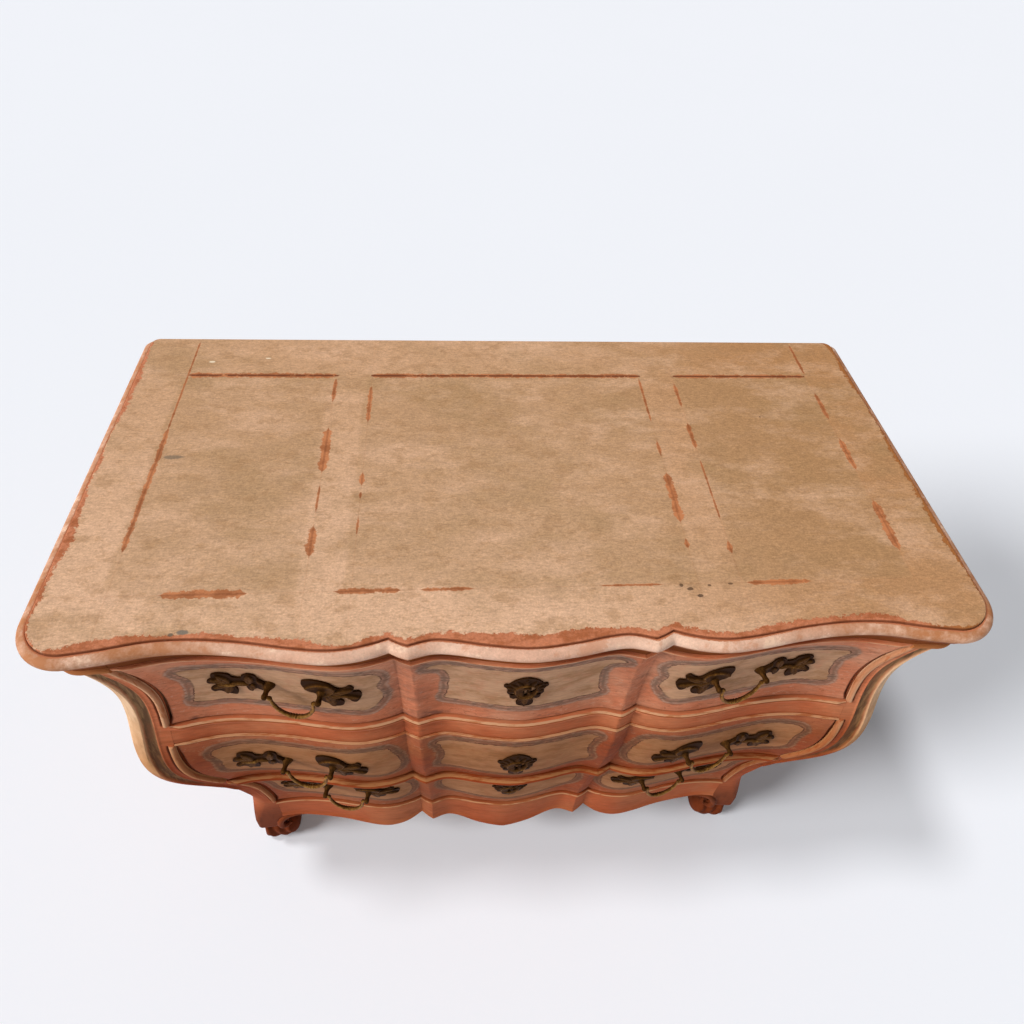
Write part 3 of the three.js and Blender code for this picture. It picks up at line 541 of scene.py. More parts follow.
def drawer_paint():
    """Painted fronts: "field" is the place in the painted fields, and INSIDE on the bare inner face."""
    f = Finish("drawer_paint", 0.7, specular=0.08)
    salmon = old_paint(f, "#da8763", "#a45f40", "#dfa080", ALONG_X)
    soft = f.noise(55, detail=4, rough=0.65, shift=2.2)
    fine = f.noise(420, stretch=ALONG_X, detail=3, rough=0.6, shift=6.1)
    scuffs = f.noise(130, stretch=(0.5, 1, 1), detail=5, rough=0.8, shift=11.0)
    salmon = f.mix(f.step(scuffs, 0.56, 0.66) * 0.5, salmon, "#d9ab90")
    salmon = f.mix(f.step(scuffs, 0.43, 0.34) * 0.5, salmon, "#85472e")
    long = f.noise(38, stretch=(0.4, 1, 1), detail=5, rough=0.7, shift=8.8)
    field = f.attribute("field") + (soft - 0.5) * 8.0 + (fine - 0.5) * 6.0
    salmon = f.mix(f.step(long, 0.58, 0.74), salmon, "#8d5b48")
    cream = f.mix(f.step(long, 0.4, 0.66), "#cda17f", "#b0845f")
    cream = f.mix(f.step(soft, 0.5, 0.72) * 0.5, cream, "#c98d6c")
    cream = f.tint(cream, fine, 0.88, 1.1)
    blue = f.mix(f.step(fine, 0.4, 0.6), "#7b5f50", "#a58874")
    patchy = f.step(soft + fine * 0.6, 0.64, 0.9)
    banded = 0.95 - patchy * 0.3
    banded = f.step(field, -16.5, -11.0) * banded
    colour = f.mix(banded, salmon, blue)
    outer = f.band(field, -13.5, -12.0, -9.0, -11.0)
    colour = f.mix(outer * (patchy * 0.4), colour, "#c6a592")
    middle = f.band(field, -9.4, -7.2, -3.6, -5.6)
    middle = middle * f.step(fine, 0.42, 0.6)
    colour = f.mix(middle * 0.5, colour, "#5c4438")
    colour = f.mix(f.step(field, -2.0, 1.2), colour, cream)
    line = f.band(field, -1.8, -0.9, 0.9, 0.0)
    colour = f.mix(line * f.step(soft, 0.35, 0.6), colour, "#6a4a3c")
    ridge = f.attribute("ridge")
    shade = f.step(ridge, 3.0, 0.3) * f.step(soft, 0.42, 0.62)
    colour = f.mix(shade * 0.3, colour, "#6a3f2c")
    # Darker in patches within a few centimetres of the notch.
    near_notch_dark = f.step(ridge, 26.0, 6.0) * f.step(long, 0.44, 0.62)
    colour = f.mix(near_notch_dark * 0.28, colour, "#7c5a4e")
    # Painted shadow: dark brown within a few millimetres of each edge of the front, in the gaps round the drawer.
    edge = f.step(f.attribute("edge"), 3.4, 0.6)
    colour = f.mix(edge * 0.8, colour, "#5c2f1b")
    wood = f.tint(f.mix(f.step(long, 0.4, 0.66), "#a57d56", "#7d5a3b"), fine, 0.86, 1.12)
    return f.done(f.mix(f.step(field, -110.0, -150.0), f.varnished_and_shaded(colour), wood))


def rail_paint():
    """Salmon rails: cream where the attribute "cream" is high."""
    f = Finish("rail_paint", 0.68, specular=0.08)
    salmon = old_paint(f, "#e0845a", "#ad603b", "#e39870", ALONG_X)
    fine = f.noise(160, stretch=ALONG_X, detail=4, rough=0.7, shift=6.1)
    cream = f.mix(f.step(fine, 0.46, 0.64), "#e9b78e", "#c98558")
    # Pale crests of the beads: rubbed paint and a painted highlight.
    worn = f.attribute("cream") - fine * 0.5
    colour = f.mix(f.step(worn, 0.1, 0.32), salmon, cream)
    brown = f.attribute("brown")
    colour = f.mix(f.step(brown, 0.2, 0.8), colour, f.tint("#8a4a24", fine, 0.8, 1.2))
    # Painted shade: a dark line along the notch, as on the drawer fronts.
    ridge = f.step(f.attribute("ridge"), 2.4, 0.3) * f.step(fine, 0.35, 0.6)
    colour = f.mix(ridge * 0.25, colour, "#6d3a24")
    return f.done(f.varnished_and_shaded(colour))


def under_top(f, colour, fine):
    """The brown moulding under the top and its lip, carried over posts and sides."""
    colour = f.mix(f.step(f.z, 0.7905, 0.7915), colour, f.tint("#8a4a24", fine, 0.85, 1.15))
    return f.mix(f.band(f.z, 0.7835, 0.7843, 0.7915, 0.7905), colour, "#b87748")


def post_paint():
    f = Finish("post_paint", 0.7, specular=0.08)
    salmon = old_paint(f, "#e0845a", "#ad603b", "#e39870", ALONG_X)
    fine = f.noise(150, stretch=ALONG_Z, detail=4, rough=0.7, shift=6.1)
    soft = f.noise(36, stretch=(1, 1, 0.4), detail=5, rough=0.68, shift=2.8)
    across = f.attribute("across") + (soft - 0.5) * 0.1
    tan = f.mix(f.step(soft, 0.4, 0.66), "#f8d2ac", "#dfb389")
    streaks = f.noise(64, stretch=(1, 1, 0.14), detail=5, rough=0.72, shift=13.0)
    tan = f.mix(f.step(streaks, 0.52, 0.66) * 0.4, tan, "#b9946d")
    tan = f.tint(tan, fine, 0.92, 1.06)
    grey = f.mix(f.step(fine, 0.42, 0.6), "#74553b", "#a07c56")
    grey = f.mix(f.step(soft, 0.5, 0.7) * 0.6, grey, "#9a6446")
    channel = f.band(across, 0.3, 0.35, 0.6, 0.53)
    outer = f.step(across, 0.55, 0.6)
    low = f.step(f.z, 0.43, 0.52)
    colour = f.mix(outer * low, salmon, tan)
    colour = f.mix(channel * f.step(f.z, 0.34, 0.46), colour, grey)
    quirk = f.band(across, 0.12, 0.15, 0.2, 0.16)
    colour = f.mix(quirk * f.attribute("cream"), colour, "#6c3a20")
    worn = f.attribute("cream") - fine * 0.4
    edge = f.step(worn, 0.1, 0.35) * f.step(across, 0.14, 0.11)
    tone = f.mix(f.step(fine, 0.5, 0.66), "#e3b189", "#c57f54")
    tone = f.mix(f.step(across, 0.07, 0.03) * 0.55, tone, "#b36a42")
    colour = f.mix(edge, colour, tone)
    # Painted shade in the hollow behind the C-scroll and on the top of the roll.
    colour = f.mix(f.attribute("deep") * 0.85, colour, "#46200e")
    foot = f.step(f.z, 0.23, 0.13) * 0.85
    colour = f.mix(foot, colour, f.mix(f.step(soft, 0.42, 0.66), "#804122", "#5c2d15"))
    return f.done(f.varnished_and_shaded(under_top(f, colour, fine)))


def side_paint():
    f = Finish("side_paint", 0.7, specular=0.08)
    salmon = old_paint(f, "#bd7657", "#9c5c40", "#c98a6c", ALONG_Y)
    soft = f.noise(55, detail=4, rough=0.65, shift=2.2)
    fine = f.noise(380, stretch=ALONG_Y, detail=3, rough=0.6, shift=6.1)
    long = f.noise(38, stretch=(1, 0.4, 1), detail=5, rough=0.7, shift=8.8)
    field = f.attribute("field") + (soft - 0.5) * 6.0
    cream = f.tint(f.mix(f.step(long, 0.4, 0.66), "#cfa183", "#bb8f6b"), fine, 0.92, 1.07)
    blue = f.mix(f.step(fine, 0.42, 0.6), "#7d6a68", "#978482")
    colour = f.mix(f.step(field, -12.5, -10.5) * 0.85, salmon, blue)
    colour = f.mix(f.step(field, -0.8, 0.6), colour, cream)
    line = f.band(field, -2.0, -1.0, 0.6, -0.2)
    colour = f.mix(line * 0.5, colour, "#6a5148")
    return f.done(f.varnished_and_shaded(under_top(f, colour, fine)))


def bare_wood(name, stretch, tone="#a57d56", dark="#7d5a3b"):
    f = Finish(name, 0.78, specular=0.2)
    grain = f.noise(46, stretch=stretch, detail=6, rough=0.66)
    fine = f.noise(420, stretch=stretch, detail=3, rough=0.6, shift=3.3)
    stain = f.noise(5, detail=4, shift=8.1)
    colour = f.mix(f.step(grain, 0.4, 0.66), tone, dark)
    colour = f.mix(f.step(stain, 0.5, 0.7) * 0.5, colour, "#6b4c33")
    colour = f.tint(colour, fine, 0.88, 1.1)
    f.bump(grain + fine, 0.0005, 0.6)
    return f.done(colour)


def old_bronze():
    f = Finish("old_bronze", 0.55, metallic=0.25, specular=0.05)
    f.put(f.shader.inputs["Specular Tint"], "#c79a5c")
    rise = f.attribute("rise")
    soft = f.noise(180, detail=4, rough=0.65)
    fine = f.noise(900, detail=2, shift=2.0)
    # Gold where the relief rises; on the bail, also a painted highlight along the front of the rod.
    worn = rise + (soft - 0.5) * 1.1
    colour = f.mix(f.step(worn, 0.25, 0.75), "#301b0a", "#563717")
    colour = f.mix(f.step(worn, 0.8, 1.2), colour, "#9c7038")
    colour = f.tint(colour, fine, 0.8, 1.2)
    rough = 0.55 - f.step(worn, 0.5, 1.0) * 0.2
    f.bump(soft + fine, 0.0003, 0.5)
    return f.done(colour, rough)


def iron():
    f = Finish("lock_iron", 0.5, metallic=0.85)
    soft = f.noise(120, detail=5, rough=0.7)
    colour = f.mix(f.step(soft, 0.45, 0.7), "#4b4743", "#5d4433")
    f.bump(soft, 0.0003, 0.5)
    return f.done(colour)


SAND = sand_paint()
DRAWER = drawer_paint()
RAIL = rail_paint()
POST = post_paint()
SIDE_PAINT = side_paint()
WOOD_X = bare_wood("board_wood", (0.08, 1, 1))
WOOD_Y = bare_wood("drawer_wood", (1, 0.08, 1))
WOOD_Z = bare_wood("back_wood", (1, 1, 0.08), "#8f6b49", "#6c4d33")
BRONZE = old_bronze()
IRON = iron()


def settle(piece, material, body, slot, *nodes):
    """Gives a piece its material, the body it rides and the nodes it stands for; slot is not used."""
    piece.data.materials.clear()
    piece.data.materials.append(material)
    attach(piece, body)
    if nodes:
        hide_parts(*nodes)


def make_pair(name, ending, parts, attributes, material):
    """The right piece of the case and its mirror image on the left."""
    points, faces = parts
    for side, label in ((1, "right"), (-1, "left")):
        node = f"{name}_{label}"
        made = new_object(f"{node}_{ending}", points * [side, 1, 1], faces, attributes)
        settle(made, material, "case", "case_paint", node)


# Top: a slab with its moulded edge, parted at the joints
STILE_X, BACK_JOINT, FRONT_JOINT = 524.0, 219.5, -216.5
MUNTIN_IN, MUNTIN_OUT = 227.0, 285.0
SEAM = 0.03
TOP_CORNER, TOP_BACK_CORNER = 64.0, 12.0


def top_outline(inset):
    half, corner = WIDTH / 2, TOP_CORNER
    corner_x = half - corner
    corner_y = -DEPTH / 2 + wave(corner_x, RIDGE_TOP) + corner
    x = station_x(STATIONS, HEIGHT, corner_x)
    points = list(zip(x, -DEPTH / 2 + wave(x, RIDGE_TOP) + inset))
    quarter = math.pi / 2

    def arc(cx, cy, radius, start, end, steps):
        points.extend((cx + x, cy + y) for x, y in circle(radius, np.linspace(start, end, steps + 1)[1:]))

    arc(corner_x, corner_y, corner - inset, -quarter, 0, 16)
    back = DEPTH / 2 - TOP_BACK_CORNER
    back_x = half - inset - TOP_BACK_CORNER
    points.append((half - inset, back))
    arc(back_x, back, TOP_BACK_CORNER, 0, quarter, 8)
    points.append((-back_x, back + TOP_BACK_CORNER))
    arc(-back_x, back, TOP_BACK_CORNER, quarter, 2 * quarter, 8)
    points.append((-half + inset, corner_y))
    arc(-corner_x, corner_y, corner - inset, 2 * quarter, 3 * quarter - quarter / 16, 15)
    return points


def top_slab():
    nose, shoulder = 838.0, 845.0
    rows = [(9.8, CASE_TOP + 0.3), (8.6, CASE_TOP + 3)]
    for i in range(15):
        angle = math.radians(-62 + 152 * i / 14)
        rows.append((11.5 - 11.5 * math.cos(angle), nose - 1 + 9.2 * math.sin(angle)))
    rows += [(12.7, shoulder + 0.6), (13.0, shoulder - 0.2), (13.5, shoulder - 0.2), (13.8, HEIGHT - 1.4)]
    rows += [(14.4, HEIGHT - 0.4), (15.2, HEIGHT - 0.05)]
    rows += [(inset, HEIGHT) for inset in (16.5, 19.0, 22.0, 26.0, 31.0, 37.0, 45.0, 55.0)]
    rings = np.array([[(x, y, z) for x, y in top_outline(inset)] for inset, z in rows])
    points, faces = loft_parts(rings)
    insets = np.repeat([inset for inset, z in rows], rings.shape[1])
    return points, faces, insets


def cut_from(points, faces, attributes, planes):
    """The part of a solid on the inner side of some planes (point, outward normal)."""
    mesh = bpy.data.meshes.new("cut")
    mesh.from_pydata([tuple(p) for p in points], [], faces)
    shape = bmesh.new()
    shape.from_mesh(mesh)
    layers = {label: shape.verts.layers.float.new(label) for label in attributes}
    shape.verts.ensure_lookup_table()
    for label, values in attributes.items():
        for vert, value in zip(shape.verts, values):
            vert[layers[label]] = value
    for point, normal in planes:
        edges = [e for e in cut_mesh(shape, point, normal, True) if isinstance(e, bmesh.types.BMEdge)]
        bmesh.ops.edgeloop_fill(shape, edges=edges)
    kept, shapes = read_mesh(shape)
    values = {label: [v[layer] for v in shape.verts] for label, layer in layers.items()}
    shape.free()
    bpy.data.meshes.remove(mesh)
    return kept, shapes, values


def build_top():
    points, faces, insets = top_slab()
    far = 1000.0
    deep = (FRONT_JOINT, BACK_JOINT)
    pieces = {
        "top_stile_left": (-far, -STILE_X, -far, far),
        "top_stile_right": (STILE_X, far, -far, far),
        "top_rail_back": (-STILE_X, STILE_X, BACK_JOINT, far),
        "top_rail_front": (-STILE_X, STILE_X, -far, FRONT_JOINT),
        "top_muntin_left": (-MUNTIN_OUT, -MUNTIN_IN, *deep),
        "top_muntin_right": (MUNTIN_IN, MUNTIN_OUT, *deep),
        "top_panel_left": (-STILE_X, -MUNTIN_OUT, *deep),
        "top_panel_centre": (-MUNTIN_IN, MUNTIN_IN, *deep),
        "top_panel_right": (MUNTIN_OUT, STILE_X, *deep),
    }
    for node, (x0, x1, y0, y1) in pieces.items():
        planes = []
        for axis, place, way in ((0, x0, -1), (0, x1, 1), (1, y0, -1), (1, y1, 1)):
            if abs(place) < far:
                point, normal = [0, 0, 0], [0, 0, 0]
                point[axis], normal[axis] = place - way * SEAM, way
                planes.append((point, normal))
        kept, shapes, values = cut_from(points, faces, {"inset": insets}, planes)
        settle(new_object(node + "_board", kept, shapes, values, sharp=50), SAND, "case", "top_paint", node)


# Rails and apron
END_GAP = 1.7


def cross_piece(rows):
    """The front and back of a rail with rows (reach, level), and the distance from the notch."""
    reach = np.array([r for r, z in rows])[:, None]
    z = np.array([level for r, level in rows])[:, None]
    foot_half, top_half = opening_at(z[0, 0]), opening_at(z[-1, 0])
    half = foot_half + (top_half - foot_half) * (z - z[0]) / (z[-1] - z[0]) + END_GAP
    x = station_x(STATIONS[None, :], z, half)
    reach = np.minimum(reach, 1) + np.maximum(reach - 1, 0) * smooth_step(half - np.abs(x), 0, 16)
    front = grid(x, front_y(x, z) - reach, z)
    back = grid(x, RAIL_BACK, z)
    return front, back, notch_distance(x, ridge_at(z))


def spread(values, columns):
    """One value for each row of the front, and 0 on the back."""
    front = np.repeat(np.asarray(values, float)[:, None], columns, axis=1)
    return np.concatenate([front.ravel(), front.ravel() * 0])


def add_rail(node, ending, front, back, ridge, cream, brown):
    points, faces = shell_parts(front, back)
    columns = front.shape[1]
    attributes = {
        "cream": spread(cream, columns),
        "brown": spread(brown, columns),
        "ridge": np.concatenate([ridge.ravel(), ridge.ravel()]),
    }
    settle(new_object(f"{node}_{ending}", points, faces, attributes), RAIL, "case", "front_paint", node)


FRIEZE_ROWS = (
    bead(FRIEZE_FOOT, FRIEZE_FOOT + 6.2, 4.6, 8)
    + [(-0.6, FRIEZE_FOOT + 6.8), (-0.2, FRIEZE_FOOT + 7.6)]
    + [(-4.2 * math.sin(math.pi * t), FRIEZE_FOOT + 8 + 24 * t) for t in np.linspace(0.06, 0.94, 9)]
    + [(0.0, CASE_TOP - 0.2)]
)
FRIEZE_LEVELS = [z for r, z in FRIEZE_ROWS]


def frieze_reach(z):
    """How far the moulding under the top stands proud of the case at a level."""
    reach = np.interp(z, FRIEZE_LEVELS, [r for r, level in FRIEZE_ROWS])
    return np.where(np.asarray(z) < FRIEZE_FOOT, 0, reach)


def crest(z, at):
    """Where paint is pale along a line of a moulding: rubbed paint and a painted highlight on its crest."""
    return math.exp(-((z - at) / 1.5) ** 2)


def build_rails():
    cream = [crest(z, FRIEZE_FOOT + 2.4) for r, z in FRIEZE_ROWS]
    brown = [0.0 if z < FRIEZE_FOOT + 6.6 else 1.0 for r, z in FRIEZE_ROWS]
    add_rail("frieze_rail", "moulded", *cross_piece(FRIEZE_ROWS), cream, brown)
    foot, top = UPPER_RAIL
    rows = bead(foot, foot + 3.4, 2.8, 6) + [(-0.9, foot + 4), (-0.2, foot + 5), (0, foot + 14), (0, foot + 24)]
    rows += [(-0.2, top - 12.6), (-0.9, top - 11.2)] + bead(top - 10.6, top, 6.2, 12)
    cream = [0.55 if z < foot + 3.6 else crest(z, top - 1.8) * 0.8 for r, z in rows]
    brown = [0.8 if r < -0.5 or abs(z - top + 4.6) < 0.7 else 0.0 for r, z in rows]
    add_rail("upper_rail", "moulded", *cross_piece(rows), cream, brown)
    foot, top = LOWER_RAIL
    rows = [(0, foot), (1.5, foot + 0.4)] + bead(foot + 0.8, top, 11.0, 14)[1:]
    cream = [crest(z, top - 1.2) * 0.7 + crest(z, top - 6.4) * 0.3 for r, z in rows]
    brown = [1.0 if z < foot + 2 else 0.0 for r, z in rows]
    add_rail("lower_rail", "moulded", *cross_piece(rows), cream, brown)


APRON = {"pendant": 92.0, "shallow": 126.0, "lobe": 112.0, "notch": 138.0, "point": 136.0}


def apron_edge(x, half):
    point, notch = APRON["point"] / half, RIDGE_APRON / half
    shallow, lobe, pendant = APRON["shallow"], APRON["lobe"], APRON["pendant"]
    size = np.abs(x) / half
    tip = shallow - (APRON["notch"] - shallow) * 0.2
    middle = [
        [0, pendant], [point * 0.35, pendant + (shallow - pendant) * 0.35], [point * 0.72, shallow], [point, tip],
    ]
    side = [
        [0, APRON["notch"]], [0.11, shallow - (shallow - lobe) * 0.5], [0.27, lobe],
        [0.51, shallow - (shallow - lobe) * 0.3], [0.68, shallow], [0.87, shallow + 7], [1, shallow + 9],
    ]
    step = tip + (APRON["notch"] - tip) * (size - point) / (notch - point)
    edge = np.where(size >= notch, through(side, (size - notch) / (1 - notch)), step)
    return np.where(size <= point, through(middle, size), edge)


def build_apron():
    half = opening_at(APRON_TOP) + END_GAP
    point = APRON["point"] / RIDGE_APRON
    places = np.unique(np.concatenate([HALF_STATIONS, [point, point - 0.01, point + 0.01]]))
    x = station_x(both_sides(places), APRON_TOP, half)
    edge = apron_edge(x, half)
    head = bead(APRON_TOP - 9, APRON_TOP, 5.0, 8)[::-1]
    rows, cream, brown = [], [], []
    for reach, z in head + [(-0.8, APRON_TOP - 9.6)]:
        rows.append(grid(x, front_y(x, APRON_TOP) - reach, z))
        cream.append(crest(z, APRON_TOP - 2.6))
        brown.append(0.8 if z < APRON_TOP - 7.5 else 0.0)
    low = APRON_TOP - 11.0
    for share in (0.0, 0.2, 0.4, 0.6, 0.75, 0.86, 0.93, 0.97, 1.0):
        z = low + (edge - low) * share
        above = z - edge
        roll = 2.6 * smooth_step(above, 11, 4) - 3.2 * smooth_step(above, 2.6, 0)
        knee = smooth_step(np.abs(x), half - 70, half)
        face = front_y(x, APRON_TOP) * (1 - knee) + front_y(x, z) * knee
        rows.append(grid(x, face - roll, z))
        cream.append(0.0)
        brown.append(0.0)
    front = np.array(rows)[::-1]
    back = front.copy()
    back[..., 1] = APRON_BACK
    add_rail("apron", "scalloped", front, back, notch_distance(front[..., 0], RIDGE_APRON), cream[::-1], brown[::-1])


# Front posts, legs and rolled feet
POST_CORNER, KNEE_CORNER, POST_WALL = 30.0, 9.0, 34.0
KNEE_TOP = 118.0
LEG_OUTER, LEG_INNER, LEG_FRONT, LEG_BACK = 476.9, 427.9, -210.0, -168.0
ANKLE, KNEE = 62.0, 88.0
ROLL_RADIUS, ROLL_WIDTH, ROLL_TURN, ROLL_Y = 31.0, 66.0, math.radians(-4), -196.0


def post_path(inner, outer, inner_front, front, corner, back, wall):
    """A ring in plan, with the share across the face of each of its points."""
    points, across = [], []
    for t in np.linspace(0, 1, 40):
        x = inner + (outer - corner - inner) * t
        points.append((x, inner_front + (front - inner_front) * t))
        across.append((x - inner) / (outer - inner))
    for angle in np.linspace(0, math.pi / 2, 12)[1:]:
        x = outer - corner + corner * math.sin(angle)
        points.append((x, front + corner * (1 - math.cos(angle))))
        across.append((x - inner) / (outer - inner))
    for t in np.linspace(0, 1, 8)[1:]:
        points.append((outer, front + corner + (back - front - corner) * t))
        across.append(1.0 + t)
    faced = len(points)
    points += [(outer - wall, back), (inner, max(back - wall, front + corner))]
    across += [2.0, 2.0]
    return np.array(points), np.array(across), faced


def plain_post(z):
    inner = opening_at(z) + DRAWER_GAP
    outer = side_at(z)
    inner_front = front_y(inner, z)
    share = np.clip((z - KNEE_TOP) / (APRON_TOP - KNEE_TOP), 0, 1)
    corner = min(KNEE_CORNER + (POST_CORNER - KNEE_CORNER) * share, (outer - inner) * 0.6)
    front = inner_front + (front_y(outer - corner, z) - inner_front) * 0.5
    return post_path(inner, outer, inner_front, front, corner, POST_BACK, POST_WALL)


def bead_mask(z):
    """1 where a drawer stands beside the post, and 0 beside the rails."""
    mask = 0.0
    for foot, top in DRAWER_ROWS:
        mask = max(mask, smooth_step(z, foot - 4, foot) * smooth_step(z, top + 3, top))
    return mask


def post_ring(z):
    points, across, faced = plain_post(z)
    if z <= KNEE_TOP:
        share = float(np.interp(z, [31, ANKLE, 68.5, 77.6, KNEE, KNEE_TOP], [0, 0.15, 0.5, 0.85, 1, 1]))
        points, across, faced = plain_post(KNEE_TOP)
        low = post_path(LEG_INNER, LEG_OUTER, LEG_FRONT, LEG_FRONT, KNEE_CORNER, LEG_BACK, POST_WALL)[0]
        low[-1] = (LEG_INNER, LEG_BACK)
        points = low + (points - low) * share
    tangent = np.gradient(points[:faced], axis=0)
    normal = np.stack([tangent[:, 1], -tangent[:, 0]], axis=-1)
    normal /= np.linalg.norm(normal, axis=1)[:, None]
    a = across[:faced]
    mask = bead_mask(z)
    relief = 4.0 * mask * np.sqrt(np.clip(1 - ((a - 0.065) / 0.065) ** 2, 0, 1))
    shaped = smooth_step(z, 225, 300) * smooth_step(z, FRIEZE_FOOT, FRIEZE_FOOT - 6)
    relief -= 1.2 * mask * np.exp(-((a - 0.15) / 0.02) ** 2)
    relief -= 3.2 * shaped * smooth_step(a, 0.3, 0.38) * smooth_step(a, 0.6, 0.52)
    relief += 1.0 * shaped * np.exp(-((a - 0.3) / 0.025) ** 2)
    relief += 1.0 * shaped * np.exp(-((a - 0.61) / 0.03) ** 2)
    relief += frieze_reach(z)
    points[:faced] += normal * relief[:, None]
    # The hollow behind the C-scroll is set back, and its depth also marks it for painted shade.
    hollow = smooth_step(z, 74, 84) * smooth_step(z, 135, 127)
    inward = np.interp(z, SCROLL_Z, SCROLL_X) - points[:, 0]
    deep = hollow * smooth_step(inward, 0, 5)
    points[:faced, 1] += 22 * deep[:faced]
    ring = np.column_stack([points, np.full(len(points), z)])
    return ring, across, np.full(len(points), mask), deep


# The C-scroll that ends the edge of the apron on the knee: (x, z, radius)
SCROLL = [
    (340, 130, 2.4), (356, 132.5, 3.2), (372, 133.5, 4.2), (388, 134, 5.0), (403, 133, 5.5), (416, 128.5, 5.8),
    (426, 120, 6.0), (432, 109, 6.0), (434, 98, 5.8), (432.5, 87.5, 5.4), (427, 81, 5.0), (420.5, 80.5, 4.4),
    (416.5, 84.5, 3.6),
]
SCROLL_Z = [74, 81, 87, 98, 109, 120, 128]
SCROLL_X = [424, 428, 432, 434, 432, 426, 416]


def scroll_parts():
    rows = np.array(SCROLL)
    fine = np.linspace(0, len(rows) - 1, 60)
    path = np.array([through([[i, v] for i, v in enumerate(rows[:, c])], fine) for c in range(3)]).T
    y = front_y(path[:, 0], path[:, 1]) + 1.0
    y += 6 * smooth_step(fine, 9, 12)
    return rod_parts(np.column_stack([path[:, 0], y, path[:, 1]]), path[:, 2], sides=16)


def roll_parts():
    """The rolled toe: a short drum, rounded at its ends and carved in lobes."""
    sides, rows = 56, 34
    rings = []
    for s in np.linspace(-0.5, 0.5, rows):
        inner_end = max(-0.16 - s, 0) / 0.34
        outer_end = max(s - 0.4, 0) / 0.1
        size = 0.5 + 0.5 * math.sqrt(1 - min(inner_end, 1) ** 2) - 0.1 * outer_end ** 2
        ring = []
        for i in range(sides):
            angle = 2 * math.pi * i / sides
            ahead = max(-math.cos(angle + 0.5), 0)
            lobes = 1 + 0.07 * math.cos(2 * math.pi * (3.2 * s + 0.35 * math.sin(2 * angle))) * ahead
            lobes += 0.025 * math.cos(5 * angle + 4 * s)
            radius = ROLL_RADIUS * size * lobes
            y = radius * math.cos(angle) + ROLL_RADIUS * (1 - size) * 0.6
            z = max(ROLL_RADIUS + ROLL_RADIUS * size * lobes * math.sin(angle) - 2.5, 0)
            ring.append((s * ROLL_WIDTH, y, z))
        rings.append(ring)
    points, faces = loft_parts(rings)
    return turned(points, ROLL_TURN) + [LEG_OUTER - ROLL_WIDTH / 2, ROLL_Y, 0], faces


def build_posts():
    levels = np.concatenate([
        np.arange(31, 118, 2.5), np.arange(118, FRIEZE_FOOT - 6, 4.0), np.arange(FRIEZE_FOOT - 5, FRIEZE_FOOT, 1.0),
        FRIEZE_LEVELS,
    ])
    for foot, top in DRAWER_ROWS:
        levels = np.concatenate([levels, [foot - 4, foot - 2, foot, top, top + 1.5, top + 3]])
    levels = np.unique(levels[levels <= CASE_TOP])
    made = [post_ring(z) for z in levels]
    shaft = loft_parts([ring for ring, *_ in made])
    roll = roll_parts()
    scroll = scroll_parts()
    points, faces = join_parts([shaft, roll, scroll])
    extra = len(roll[0]) + len(scroll[0])
    across = np.concatenate([row[1] for row in made] + [np.full(extra, 0.8)])
    cream = np.concatenate([row[2] for row in made] + [np.zeros(extra)])
    # Painted shade on the top of the roll, under the knee.
    roll_painted_shade = smooth_step(roll[0][:, 2], 46, 60) * smooth_step(roll[0][:, 1], -222, -214)
    deep = np.concatenate([row[3] for row in made] + [roll_painted_shade, np.zeros(len(scroll[0]))])
    make_pair("front_post", "carved", (points, faces), {"across": across, "cream": cream, "deep": deep}, POST)


def build_rear_posts():
    levels = np.unique(np.concatenate([[0.0, 20.0, 40.0], np.arange(60, FRIEZE_FOOT, 8.0), FRIEZE_LEVELS]))
    wide, deep = REAR_POST
    rings = []
    for z in levels:
        outer = side_at(z)
        reach = float(frieze_reach(z))
        front, back = CASE_BACK - deep, CASE_BACK
        ring = [(outer + reach, y) for y in np.linspace(front, back - 3, 8)]
        ring += [(outer + reach - 0.9, back - 0.9), (outer + reach - 3, back)]
        ring += [(outer - wide + 1, back), (outer - wide, back - 1), (outer - wide, front)]
        rings.append([(x, y, z) for x, y in ring])
    parts = loft_parts(rings)
    across = np.full(len(parts[0]), 0.8)
    make_pair("rear_post", "shaped", parts, {"across": across, "cream": across * 0}, POST)


# Painted fields: distances from closed outlines, in millimetres, positive inside
def smooth_closed(points, steps=8):
    points = np.array(points, float)
    before, after, beyond = np.roll(points, 1, 0), np.roll(points, -1, 0), np.roll(points, -2, 0)
    rows = []
    for t in np.linspace(0, 1, steps, endpoint=False):
        square = (2 * before - 5 * points + 4 * after - beyond) * t * t
        cube = (3 * points - before - 3 * after + beyond) * t ** 3
        rows.append(0.5 * (2 * points + (after - before) * t + square + cube))
    return np.stack(rows, axis=1).reshape(-1, 2)


def inside_distance(points, outline):
    """Signed distance of points from a closed outline, positive inside."""
    best = np.full(len(points), 1e9)
    inside = np.zeros(len(points), bool)
    for a, b in zip(outline, np.roll(outline, -1, 0)):
        along = b - a
        length = float(along @ along) or 1e-9
        t = np.clip(((points - a) @ along) / length, 0, 1)
        best = np.minimum(best, np.hypot(*(points - a - t[:, None] * along).T))
        crosses = (a[1] > points[:, 1]) != (b[1] > points[:, 1])
        if a[1] != b[1]:
            inside ^= crosses & (points[:, 0] < a[0] + (points[:, 1] - a[1]) * along[0] / along[1])
    return np.where(inside, best, -best)


